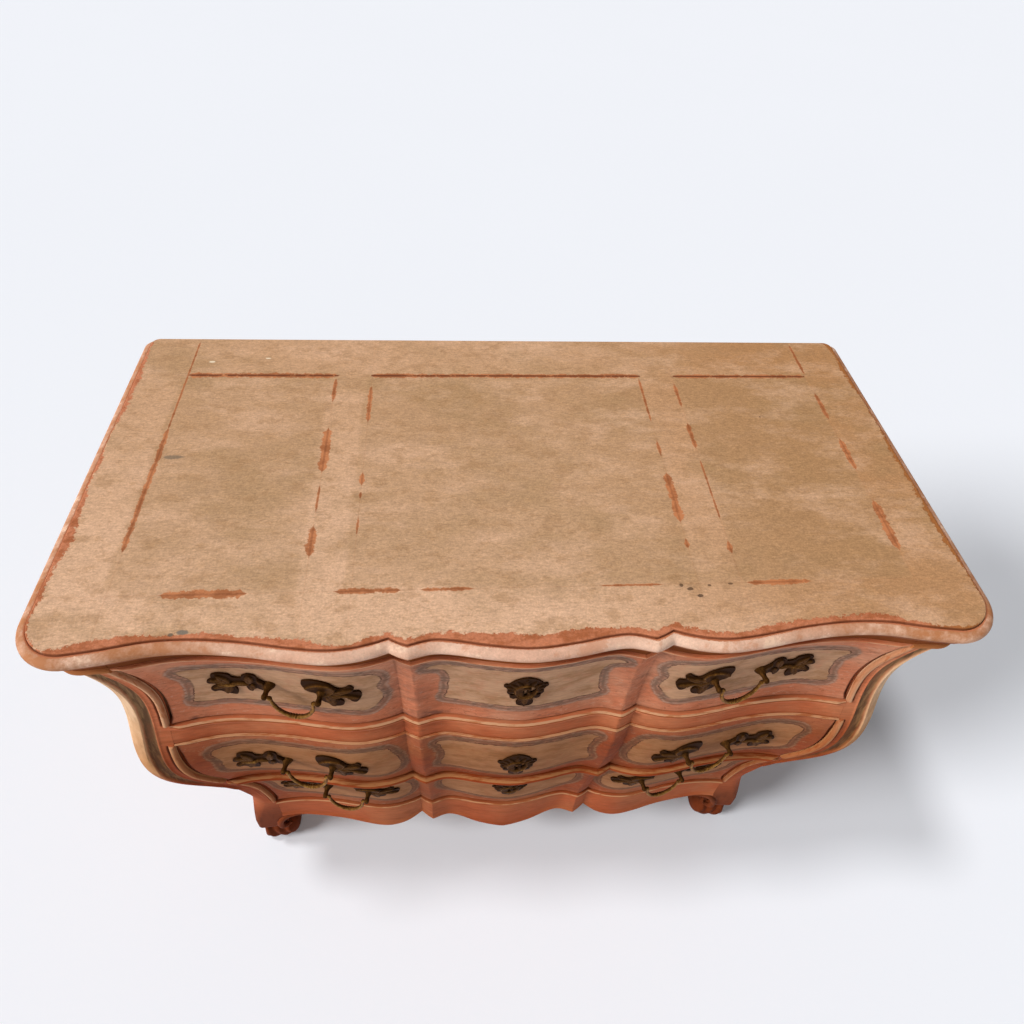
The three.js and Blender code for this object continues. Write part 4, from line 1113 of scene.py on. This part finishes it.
OUTER_FIELDS = [
    [(-456, 748), (-446, 724), (-446, 692), (-450, 665), (-403, 667), (-351, 662), (-300, 662), (-254, 662),
     (-216, 657), (-201, 671), (-194, 690), (-201, 713), (-195, 734), (-206, 752), (-244, 758), (-299, 759),
     (-356, 757), (-412, 753)],
    [(-453, 540), (-449, 506), (-443, 464), (-380, 448), (-312, 447), (-258, 463), (-216, 452), (-188, 459),
     (-180, 490), (-190, 532), (-208, 550), (-266, 544), (-331, 544), (-394, 550)],
    [(-412, 360), (-404, 330), (-400, 296), (-378, 262), (-310, 250), (-250, 258), (-204, 250), (-178, 262),
     (-171, 300), (-179, 340), (-198, 362), (-260, 356), (-330, 356), (-380, 362)],
]
CENTRE_FIELDS = [
    [(120, 762), (110, 745), (104, 728), (105, 700), (106, 680), (108, 666), (60, 664), (0, 662)],
    [(104, 555), (117, 541), (112, 520), (113, 498), (118, 478), (110, 462), (60, 452), (0, 447)],
    [(96, 364), (115, 345), (117, 300), (100, 264), (60, 249), (0, 243)],
]


def field_value(points, number):
    left = smooth_closed(OUTER_FIELDS[number])
    outlines = [left, left * [-1, 1], smooth_closed(mirrored(CENTRE_FIELDS[number]), 6)]
    return np.max([inside_distance(points, outline) for outline in outlines], axis=0)


# Drawers
SIDE_GAP = 3.4


def front_back_y(z):
    return FRONT_LINE + WAVE_DEPTH + 20.0 + TUCK_DEPTH * through(FRONT, np.asarray(z) / CASE_TOP)


def build_front(number):
    low, high = DRAWER_ROWS[number]
    rows = np.concatenate([
        [low, low + 0.5, low + 1.3], np.linspace(low + 2.6, high - 2.6, 52), [high - 1.3, high - 0.5, high],
    ])
    z = rows[:, None]
    share = (z - low) / (high - low)
    half = opening_at(z) - 0.8 - SIDE_GAP * smooth_step(share, 0, 0.1) * smooth_step(share, 1, 0.8)
    places = np.concatenate([HALF_STATIONS[:-1], [1.9925, 1.996, 1.9985, 2]])
    x = station_x(both_sides(places)[None, :], z, half)
    edge = np.minimum(np.minimum(z - low, high - z), half - np.abs(x))
    ease = 2.2
    roll = ease * (1 - np.sqrt(np.clip(1 - (1 - np.clip(edge / ease, 0, 1)) ** 2, 0, 1)))
    front = grid(x, front_y(x, z) + roll, z)
    back = grid(x, front_back_y(z), z)
    points, faces = shell_parts(front, back)
    flat = np.stack([front[..., 0].ravel(), front[..., 2].ravel()], axis=-1)
    field = field_value(flat, number)
    ridge = notch_distance(x, ridge_at(z)).ravel()
    attributes = {
        "field": np.concatenate([field, np.full(len(field), INSIDE)]),
        "ridge": np.concatenate([ridge, np.full(len(ridge), 60.0)]),
        "edge": np.concatenate([np.broadcast_to(edge, x.shape).ravel(), np.full(x.size, 60.0)]),
    }
    name = DRAWERS[number]
    made = new_object(name + "_painted_front", points, faces, attributes)
    settle(made, DRAWER, name, "front_paint", name + "_front")


def eased_board(x0, x1, front, back, z0, z1, ease=1.6):
    """A board with rounded edges, whose front end is at front(z)."""
    levels = [(z0, ease), (z0 + 0.3 * ease, 0.3 * ease), (z0 + ease, 0)]
    levels += [(z, 0) for z in np.linspace(z0 + ease, z1 - ease, 8)[1:-1]]
    levels += [(z1 - ease, 0), (z1 - 0.3 * ease, 0.3 * ease), (z1, ease)]
    rings = []
    for z, inset in levels:
        a, b, c, d = x0 + inset, x1 - inset, float(front(z)) + inset, back - inset
        e = ease * 0.8
        rings.append([(a + e, c, z), (b - e, c, z), (b, c + e, z), (b, d - e, z), (b - e, d, z), (a + e, d, z),
                      (a, d - e, z), (a, c + e, z)])
    return loft_parts(rings)


# Hardware
EYE_SPACING, EYE_PROUD, EYE_WIDTH = 72.0, 19.0, 6.0
PLATE_SIZE = (78.0, 62.0)
BAIL_DROP, BAIL_RADIUS, BAIL_SHOULDER, PIN_RADIUS = 46.0, 3.2, 5.0, 2.2
ROD_SIDES = 14
# For each drawer: where its pulls stand across the front, and how high, as shares
LEFT_PULLS = [0.628, 0.644, 0.5675]
RIGHT_PULLS = [0.6095, 0.618, 0.5515]
PULL_LEVELS = [0.5566, 0.525, 0.594]
ESCUTCHEON = (58.0, 72.0)
LEAF = [
    (-0.04, -0.05), (0.0, 0.12), (0.1, 0.28), (0.14, 0.46), (0.26, 0.5), (0.36, 0.4), (0.4, 0.3), (0.53, 0.32),
    (0.57, 0.44), (0.72, 0.5), (0.86, 0.44), (0.89, 0.28), (0.98, 0.14), (0.97, 0.03), (0.84, -0.02),
    (0.97, -0.2), (0.93, -0.33), (0.83, -0.31), (0.7, -0.42), (0.56, -0.46), (0.52, -0.28), (0.54, -0.1),
    (0.38, -0.02), (0.34, -0.24), (0.27, -0.3), (0.2, -0.16), (0.08, -0.24), (-0.01, -0.2),
]
SHELL = [
    (-0.28, 0.36), (-0.23, 0.5), (-0.04, 0.56), (0.18, 0.45), (0.32, 0.22), (0.44, 0.24), (0.53, 0.34),
    (0.6, 0.22), (0.57, 0.06), (0.68, 0.04), (0.71, -0.16), (0.62, -0.4), (0.52, -0.36), (0.44, -0.17),
    (0.28, -0.2), (0.39, -0.36), (0.37, -0.52), (0.23, -0.58), (0.1, -0.48), (-0.04, -0.34), (-0.08, -0.06),
    (-0.2, 0.02), (-0.27, 0.18),
]
ESCUTCHEON_HALF = [
    (0, 0.53), (0.1, 0.51), (0.2, 0.46), (0.3, 0.38), (0.37, 0.29), (0.42, 0.22), (0.49, 0.22), (0.53, 0.14),
    (0.47, 0.07), (0.43, -0.02), (0.44, -0.12), (0.38, -0.2), (0.36, -0.3), (0.27, -0.34), (0.19, -0.31),
    (0.17, -0.37), (0.21, -0.46), (0.18, -0.56), (0.08, -0.6), (0, -0.61),
]
# Petals: root (share along, share up), turn in degrees, length, width and height in millimetres
LEAF_PETALS = [
    (0.62, 0.06, 62, 27, 7.5, 3.2), (0.6, 0.08, 20, 30, 7.0, 3.4), (0.6, 0.02, -22, 30, 6.5, 3.2),
    (0.6, 0.0, -68, 28, 7.0, 3.0), (0.5, 0.02, 0, 26, 5.0, 4.4), (0.28, 0.1, 100, 24, 6.5, 3.4),
    (0.28, 0.06, 0, 26, 5.5, 3.6), (0.22, 0.05, -80, 20, 5.5, 2.8), (0.05, 0.05, -95, 16, 5.0, 2.4),
    (0.05, 0.02, 75, 20, 5.0, 2.6),
]
SHELL_PETALS = [
    (0.2, 0.0, 22, 34, 6.5, 3.2), (0.22, -0.08, -12, 38, 6.5, 3.4), (0.14, -0.12, -78, 30, 7.5, 3.2),
    (0.1, 0.0, -40, 34, 5.0, 3.8),
]
ESCUTCHEON_PETALS = [
    (0.0, 0.0, turn, length, 4.8, 2.2) for turn, length in (
        (90, 34), (64, 31), (116, 31), (40, 29), (140, 29), (18, 29), (162, 29), (-6, 27), (186, 27), (-34, 24),
        (214, 24),
    )
] + [(0.0, -0.12, -90, 31, 6.5, 3.2), (0.05, -0.16, -62, 19, 4.2, 3.0), (-0.05, -0.16, 242, 19, 4.2, 3.0)]


def plate_shape(outline, holes, size, petals, domes, thickness):
    """A cast plate as points (along, up, height), faces, and how high each point of its relief is."""
    long, tall = size
    shape_points = smooth_closed([(a * long, b * tall) for a, b in outline], 5)
    curve = bpy.data.curves.new("plate", "CURVE")
    curve.dimensions = "2D"
    curve.fill_mode = "BOTH"
    curve.extrude = thickness / 2 - 0.6
    curve.bevel_depth = 0.6
    curve.bevel_resolution = 2
    curve.offset = -0.6
    for ring in [shape_points] + holes:
        spline = curve.splines.new("POLY")
        spline.points.add(len(ring) - 1)
        for point, (a, b) in zip(spline.points, ring):
            point.co = (a, b, 0, 1)
        spline.use_cyclic_u = True
    holder = add_object("plate", curve)
    graph = bpy.context.evaluated_depsgraph_get()
    mesh = bpy.data.meshes.new_from_object(holder.evaluated_get(graph))
    bpy.data.objects.remove(holder)
    bpy.data.curves.remove(curve)
    shape = bmesh.new()
    shape.from_mesh(mesh)
    bpy.data.meshes.remove(mesh)
    bmesh.ops.remove_doubles(shape, verts=shape.verts, dist=0.01)
    low, high = shape_points.min(axis=0), shape_points.max(axis=0)
    for axis in (0, 1):
        for line in np.arange(low[axis] + 0.9, high[axis], 1.9):
            point, normal = [0, 0, 0], [0, 0, 0]
            point[axis], normal[axis] = line, 1
            cut_mesh(shape, point, normal)
    points, faces = read_mesh(shape)
    shape.free()
    flat = points[:, :2]
    inside = inside_distance(flat, shape_points)
    for hole in holes:
        inside = np.minimum(inside, -inside_distance(flat, np.array(hole)))
    rise = np.zeros(len(points))
    for a, b, turn, length, width, height in petals:
        u, v = turned(flat - [a * long, b * tall], -math.radians(turn)).T
        u = u / length
        reach = width * np.sin(math.pi * np.clip(u, 0.001, 1) ** 0.75) ** 0.7
        share = np.clip(1 - (v / np.maximum(reach, 0.05)) ** 2, 0, 1)
        petal = height * np.sqrt(share) - 0.35 * height * np.exp(-(v / 1.1) ** 2) * (share > 0)
        rise = np.maximum(rise, np.where((u > 0) & (u < 1), petal, 0))
    for a, b, turn, half_long, half_tall, height in domes:
        u, v = turned(flat - [a * long, b * tall], -math.radians(turn)).T
        size_from = np.hypot(u / half_long, v / half_tall)
        dish = height * (0.45 + 0.55 * size_from ** 2) * (size_from < 1)
        rim = height * 1.25 * np.exp(-((size_from - 0.93) / 0.1) ** 2)
        rise = np.maximum(rise, np.maximum(dish, rim))
    rise *= smooth_step(inside, 0.0, 2.2)
    top = points[:, 2] > 0
    points[:, 2] += thickness / 2
    points[:, 2] += np.where(top, rise, 0)
    return points, faces, np.where(top, rise / 4.0, 0)


def keyhole_ring(radius=3.4, length=13.0):
    waist = radius * 0.45
    angles = np.linspace(-math.pi / 3, 4 * math.pi / 3, 17)
    return circle(radius, angles) + [(-waist, -length), (waist, -length)]


def crescent(outer, inner, start, end, lift=3.0):
    """A pierced slot round the keyhole, between two angles in degrees."""
    angles = np.radians(np.linspace(start, end, 12))
    return [(x, y + lift) for x, y in circle(outer, angles) + circle(inner, angles[::-1])]


def round_hole(x, z, radius=3.4):
    return [(x + a, z + b) for a, b in circle(radius, np.linspace(0, 2 * math.pi, 12, endpoint=False))]


def rod_parts(path, radii, sides):
    """A rod through points in the plane X, Z, with its sections square to its path."""
    angles = [2 * math.pi * k / sides for k in range(sides)]
    path = np.array(path, float)
    tangent = np.gradient(path, axis=0)
    tangent /= np.linalg.norm(tangent, axis=1)[:, None]
    rings = []
    for point, (tx, _, tz), radius in zip(path, tangent, radii):
        side = np.array([-tz, 0, tx])
        rings.append([point + side * a + np.array([0, 1, 0]) * b for a, b in circle(radius, angles)])
    return loft_parts(rings)


def turned_parts(profile, centre, sides=20):
    """A turned solid: rows (place along y, radius) about a centre."""
    angles = [2 * math.pi * k / sides for k in range(sides)]
    points, faces = loft_parts([[(a, along, b) for a, b in circle(radius, angles)] for along, radius in profile])
    return points + np.array(centre), faces


def knob_parts():
    """The boss that stands on a plate and holds one end of the bail, at the origin."""
    boss = [(-4.4, 1.0), (-4.1, 2.3), (-3.1, 3.4), (-1.4, 4.1), (0.8, 4.3), (3.0, 3.9), (6.0, 3.5), (9.0, 3.9)]
    boss += [(12.0, 5.1), (15.0, 7.2), (17.5, 8.8), (20.5, 9.2)]
    return turned_parts(boss, (0, 0, 0), 28)


def pull_level(number):
    low, high = DRAWER_ROWS[number]
    return low + PULL_LEVELS[number] * (high - low)


def pull_frame(number, side):
    """The middle of a pull's bail, in the line of its eyes, and how far that line is turned."""
    z = pull_level(number)
    x = side * OPENING_HALF * (LEFT_PULLS if side < 0 else RIGHT_PULLS)[number]
    left, right = (float(front_y(x + s * EYE_SPACING / 2, z)) for s in (-1, 1))
    return x, (left + right) / 2 - EYE_PROUD, z, math.atan2(right - left, EYE_SPACING)


def bail_parts():
    pin_end = EYE_SPACING / 2 + EYE_WIDTH / 2
    pin_start = EYE_SPACING / 2 - EYE_WIDTH / 2 - BAIL_RADIUS
    arc = pin_start - BAIL_RADIUS * 0.4
    half = [(pin_end, 0, 1.2), (pin_end - 0.4, 0, PIN_RADIUS), (pin_start + 2.6, 0, PIN_RADIUS),
            (pin_start + 1.6, -0.4, 2.4), (pin_start + 0.4, -1.4, 3.2), (pin_start - 0.5, -2.8, 3.4),
            (arc + 0.2, -4.2, 2.8)]
    for angle in np.linspace(0, math.pi / 2, 44):
        share = math.sin(angle)
        radius = 2.3 + (BAIL_RADIUS - 2.3) * share
        from_middle = (math.pi / 2 - angle) * 30
        for at, size in ((0.0, 1.0), (4.6, 0.8), (9.0, 0.55), (34.0, 0.5)):
            radius += size * math.exp(-((from_middle - at) / 1.1) ** 2)
        half.append((arc * math.cos(angle), -BAIL_SHOULDER - (BAIL_DROP - BAIL_SHOULDER) * share, radius))
    rows = mirrored(half)
    return rod_parts([(x, 0, z) for x, z, r in rows], [r for x, z, r in rows], ROD_SIDES)


PLATE_THICKNESS, KEY_PLATE_THICKNESS = 2.6, 2.4
LEAF_PLATE = plate_shape(LEAF, [], PLATE_SIZE, LEAF_PETALS, [], PLATE_THICKNESS)
SHELL_PLATE = plate_shape(
    SHELL, [], PLATE_SIZE, SHELL_PETALS, [(0.0, 0.12, 35, 24, 16, 3.0)], PLATE_THICKNESS)
KEY_OUTLINE = ESCUTCHEON_HALF + [(-a, b) for a, b in ESCUTCHEON_HALF[:0:-1]]
KEY_HOLES = [keyhole_ring(), round_hole(-17.5, -11.5), round_hole(17.5, -11.5), crescent(13.0, 7.6, -50, 100)]
KEY_PLATE = plate_shape(
    KEY_OUTLINE, KEY_HOLES, ESCUTCHEON, ESCUTCHEON_PETALS, [(0.0, 0.0, 0, 16, 19, 3.0)], KEY_PLATE_THICKNESS)
BAIL = bail_parts()
# Higher on the side of the rod towards the front: a painted highlight.
BAIL_RISE_AND_HIGHLIGHT = np.tile(0.68 - 0.42 * np.sin(np.arange(ROD_SIDES) * 2 * math.pi / ROD_SIDES), len(BAIL[0]) // ROD_SIDES)
KNOB = knob_parts()


def on_front(shape, x, z, away, lift=0.35):
    points, faces, rise = shape
    px = x + away * points[:, 0]
    pz = z + points[:, 1]
    return np.column_stack([px, front_y(px, pz) - points[:, 2] - lift, pz]), faces


def build_hardware(number):
    body = DRAWERS[number]
    for side, label in ((-1, "left"), (1, "right")):
        x, y, z, turn = pull_frame(number, side)
        name = f"{body}_pull_{label}"
        for part, shape, away in (("leaf_plate", LEAF_PLATE, side), ("shell_plate", SHELL_PLATE, -side)):
            at = x + away * EYE_SPACING / 2 * math.cos(turn)
            plate = on_front(shape, at, z, away)
            knob = (turned(KNOB[0] + [away * EYE_SPACING / 2, 0, 0], turn) + [x, y, z], KNOB[1])
            points, faces = join_parts([plate, knob])
            rise = np.concatenate([shape[2], np.full(len(knob[0]), 0.5)])
            made = new_object(f"{name}_{part}_cast", points, faces, {"rise": rise}, sharp=50)
            settle(made, BRONZE, body, "bronze", f"{name}_{part}")
        points = turned(BAIL[0], turn) + [x, y, z]
        made = new_object(f"{name}_bail_cast", points, BAIL[1], {"rise": BAIL_RISE_AND_HIGHLIGHT}, sharp=60)
        settle(made, BRONZE, f"{body}_bail_{label}", "bronze", f"{name}_bail")
    plate = on_front(KEY_PLATE, 0, pull_level(number), 1)
    made = new_object(f"{body}_escutcheon_cast", plate[0], plate[1], {"rise": KEY_PLATE[2]}, sharp=50)
    settle(made, BRONZE, body, "bronze", f"{body}_escutcheon")


# Sides, back and boards
def build_sides():
    levels = np.unique(np.concatenate([np.arange(200, FRIEZE_FOOT, 6.0), FRIEZE_LEVELS]))
    shares = np.linspace(0, 1, 60)
    front, back = POST_BACK + 0.3, CASE_BACK - REAR_POST[1] - 0.3
    y = (front + (back - front) * shares)[None, :]
    foot = (150 + 36 * np.sin(math.pi * shares))[None, :]
    rise = np.concatenate([np.linspace(0, 0.96, 6), np.ones(len(levels))])[:, None]
    plain = np.concatenate([np.full(6, 200.0), levels])[:, None]
    z = foot + (plain - foot) * np.where(rise < 1, rise, 1)
    x = side_at(z) + frieze_reach(z)
    outside = grid(x, y, z)
    inside = grid(side_at(z) - 20, y, z)
    outline = smooth_closed([
        (-140, 735), (-146, 690), (-136, 560), (-146, 420), (-138, 290), (-60, 268), (30, 250), (120, 268),
        (198, 290), (206, 420), (196, 560), (206, 690), (200, 735), (120, 752), (30, 742), (-60, 752),
    ], 6)
    flat = np.stack([outside[..., 1].ravel(), outside[..., 2].ravel()], axis=-1)
    field = inside_distance(flat, outline)
    values = np.concatenate([field, np.full(len(field), -60.0)])
    make_pair("side_panel", "bowed", shell_parts(outside, inside), {"field": values}, SIDE_PAINT)


def keep_node(node, material):
    """A CAD node whose shape is right keeps it and gets its material."""
    kept = bpy.data.objects[node]
    kept.data.materials.clear()
    kept.data.materials.append(material)


PLANK_JOINTS = [65.0, 195.0, 325.0]
BACK_FRONT, BACK_FOOT = 286.0, 170.0


def build_back():
    """Upright planks with V joints between them."""
    joints = [-v for v in PLANK_JOINTS[::-1]] + PLANK_JOINTS
    levels = np.concatenate([[BACK_FOOT], np.arange(BACK_FOOT + 8, CASE_TOP - 4, 9.0), [CASE_TOP]])
    chamfer, gap = 2.4, 0.2
    parts = []
    for i in range(len(joints) + 1):
        rings = []
        for z in levels:
            half = float(side_at(z)) - REAR_POST[0] - 0.3
            x0 = joints[i - 1] + gap if i else -half
            x1 = joints[i] - gap if i < len(joints) else half
            ring = [(x0, BACK_FRONT), (x0, CASE_BACK - chamfer)]
            for t in np.linspace(0, 1, 11):
                x = x0 + chamfer + (x1 - x0 - 2 * chamfer) * t
                hollow = 0.35 * (1 + math.sin(x * 0.09 + z * 0.011 + i)) * math.sin(math.pi * t)
                ring.append((x, CASE_BACK - hollow))
            ring += [(x1, CASE_BACK - chamfer), (x1, BACK_FRONT)]
            rings.append([(x, y, z) for x, y in ring])
        parts.append(loft_parts(rings))
    points, faces = join_parts(parts)
    made = new_object("back_panel_planked", points, faces)
    settle(made, WOOD_Z, "case", "bare_wood", "back_panel")


DRAWER_WALL, DRAWER_BACK, BOX_GAP = 12.0, 266.0, 0.6
# For each drawer: half width outside, foot and top of its sides
BOXES = [(475.6, 622.3, 764.5), (446.9, 411.3, 555.5), (408.0, 213.3, 377.5)]
# Bottom and top of a drawer's floor above the foot of its sides; half width, half height, depth of a lock
BOX_FLOOR = (10.0, 18.0)
KEY_CASE = (34.0, 26.0, 9.0)


def build_box(number):
    """The inside of a drawer: two sides, a bottom, a back and the lock."""
    name = DRAWERS[number]
    half, foot, top = BOXES[number]
    inner = half - DRAWER_WALL - 0.3

    def add_board(label, material, parts, side=1):
        made = new_object(f"{name}_{label}_board", parts[0] * [side, 1, 1], parts[1])
        settle(made, material, name, "bare_wood", f"{name}_{label}")

    def behind_front(z):
        return front_back_y(z) + BOX_GAP

    wall = eased_board(half - DRAWER_WALL, half, behind_front, DRAWER_BACK, foot, top)
    add_board("side_right", WOOD_Y, wall)
    add_board("side_left", WOOD_Y, wall, -1)
    low, high = foot + BOX_FLOOR[0], foot + BOX_FLOOR[1]
    most = max(float(behind_front(z)) for z in (low, high))
    add_board("bottom", WOOD_X, eased_board(-inner, inner, lambda z: most, DRAWER_BACK, low, high))
    back_front = DRAWER_BACK - DRAWER_WALL
    add_board("back", WOOD_X, eased_board(-inner, inner, lambda z: back_front, DRAWER_BACK, high + 0.3, top))
    wide, tall, deep = KEY_CASE
    z = pull_level(number)
    at = max(float(front_back_y(level)) for level in (z - tall, z, z + tall)) + 0.2
    parts = [
        eased_board(-wide, wide, lambda level: at, at + 2.2, z - tall, z + tall, 0.8),
        eased_board(-wide + 9, wide - 9, lambda level: at + 2.2, at + deep, z - tall + 7, z + tall - 3, 1.4),
        eased_board(-8, 8, lambda level: at + 3.4, at + 7.4, z + tall - 3.2, z + tall + 1.5, 0.6),
    ]
    for x in (-wide + 4.5, wide - 4.5):
        for level in (z - tall + 5, z + tall - 5):
            parts.append(turned_parts([(0.0, 2.9), (0.7, 2.6), (1.2, 1.6)], (x, at + 2.2, level)))
    points, faces = join_parts(parts)
    settle(new_object(f"{name}_lock_iron", points, faces), IRON, name, None)


def build_boards():
    for node in ("upper_dust_board", "lower_dust_board", "bottom_board"):
        keep_node(node, WOOD_X)
    build_back()
    for number in range(3):
        build_box(number)


build_top()
build_rails()
build_apron()
build_posts()
build_rear_posts()
build_sides()
build_boards()
for number in range(3):
    build_front(number)
    build_hardware(number)


# Stage: floor, light and camera
WORLD_STRENGTH, FLOOR_GLOW, FLOOR_REACH = 0.165, 0.08, 30.0
# Soft lamps: the way their light goes, their strength and how wide they are in degrees
LAMPS = [((1.45, 0.42, -1.0), 2.84, 20), ((0.42, -0.04, -1.0), 1.17, 8)]


def build_floor():
    f = Finish("floor_paint", 0.9, specular=0.1)
    material = f.done(f.mix(f.noise(0.6, detail=2), "#eff2f8", "#f1f4fa"))
    glow = f.add("ShaderNodeEmission", {"Color": "#f1f3f7"})
    seen = f.math("MULTIPLY", f.add("ShaderNodeLightPath").outputs["Is Camera Ray"], FLOOR_GLOW)
    blend = f.add("ShaderNodeMixShader", {0: seen, 1: f.shader.outputs[0], 2: glow.outputs[0]})
    out = next(n for n in f.tree.nodes if n.type == "OUTPUT_MATERIAL")
    f.put(out.inputs["Surface"], blend.outputs[0])
    mesh = bpy.data.meshes.new("floor")
    corners = [(x * FLOOR_REACH, y * FLOOR_REACH, 0) for x, y in ((-1, -1), (1, -1), (1, 1), (-1, 1))]
    mesh.from_pydata(corners, [], [(0, 1, 2, 3)])
    mesh.materials.append(material)
    floor = add_object("floor", mesh)


def build_world():
    """A weak light from all round, in front of a pale backdrop that the camera, metal and glass see."""
    world = bpy.data.worlds.new("studio")
    bpy.context.scene.world = world
    sky = Tree(world)
    sky.tree.nodes.clear()
    path = sky.add("ShaderNodeLightPath").outputs
    seen = sky.math("MAXIMUM", path["Is Camera Ray"], path["Is Glossy Ray"])
    seen = sky.math("MAXIMUM", seen, path["Is Transmission Ray"])
    light = sky.add("ShaderNodeBackground", {"Color": (0.97, 0.98, 1.0, 1), "Strength": WORLD_STRENGTH})
    backdrop = sky.add("ShaderNodeBackground", {"Color": "#f1f2f6", "Strength": 1.0})
    blend = sky.add("ShaderNodeMixShader", {0: seen, 1: light.outputs[0], 2: backdrop.outputs[0]})
    sky.add("ShaderNodeOutputWorld", {0: blend.outputs[0]})


def build_lamps():
    for number, (way, strength, width) in enumerate(LAMPS, 1):
        lamp = bpy.data.lights.new(f"lamp_{number}", "SUN")
        lamp.energy = strength
        lamp.angle = math.radians(width)
        lamp.color = (1.0, 0.99, 0.985)
        holder = add_object(f"lamp_{number}", lamp)
        holder.rotation_euler = Vector(way).to_track_quat("-Z", "Y").to_euler()


# The camera at the photograph's viewing angle: its place in metres, its turns in radians, and its focal
# length and picture centre in units of which the frame is FRAME_SIZE wide
CAMERA_PLACE = (-0.104875, -0.773630, 1.639246)
YAW, PITCH, ROLL = -0.1236682, 0.7983909, 0.0798177
FOCAL, CENTRE_X, CENTRE_Y, FRAME_SIZE = 742.514, 510.796, 472.642, 1024
SENSOR = 36


def build_camera():
    level = Matrix(((1, 0, 0), (0, 0, -1), (0, 1, 0)))
    upright = level @ Matrix.Rotation(-YAW, 3, "Z")
    rows = Matrix.Rotation(ROLL, 3, "Z") @ Matrix.Rotation(PITCH, 3, "X") @ upright
    turn = Matrix((rows[0], -rows[1], -rows[2])).transposed()
    data = bpy.data.cameras.new("camera")
    data.sensor_width = SENSOR
    data.lens = FOCAL / FRAME_SIZE * SENSOR
    data.shift_x = (FRAME_SIZE / 2 - CENTRE_X) / FRAME_SIZE
    data.shift_y = (CENTRE_Y - FRAME_SIZE / 2) / FRAME_SIZE
    data.clip_end = 200
    camera = add_object("camera", data)
    camera.matrix_world = Matrix.Translation(CAMERA_PLACE) @ turn.to_4x4()
    bpy.context.scene.camera = camera


build_floor()
build_world()
build_lamps()
build_camera()
bpy.context.scene.view_settings.view_transform = "Standard"
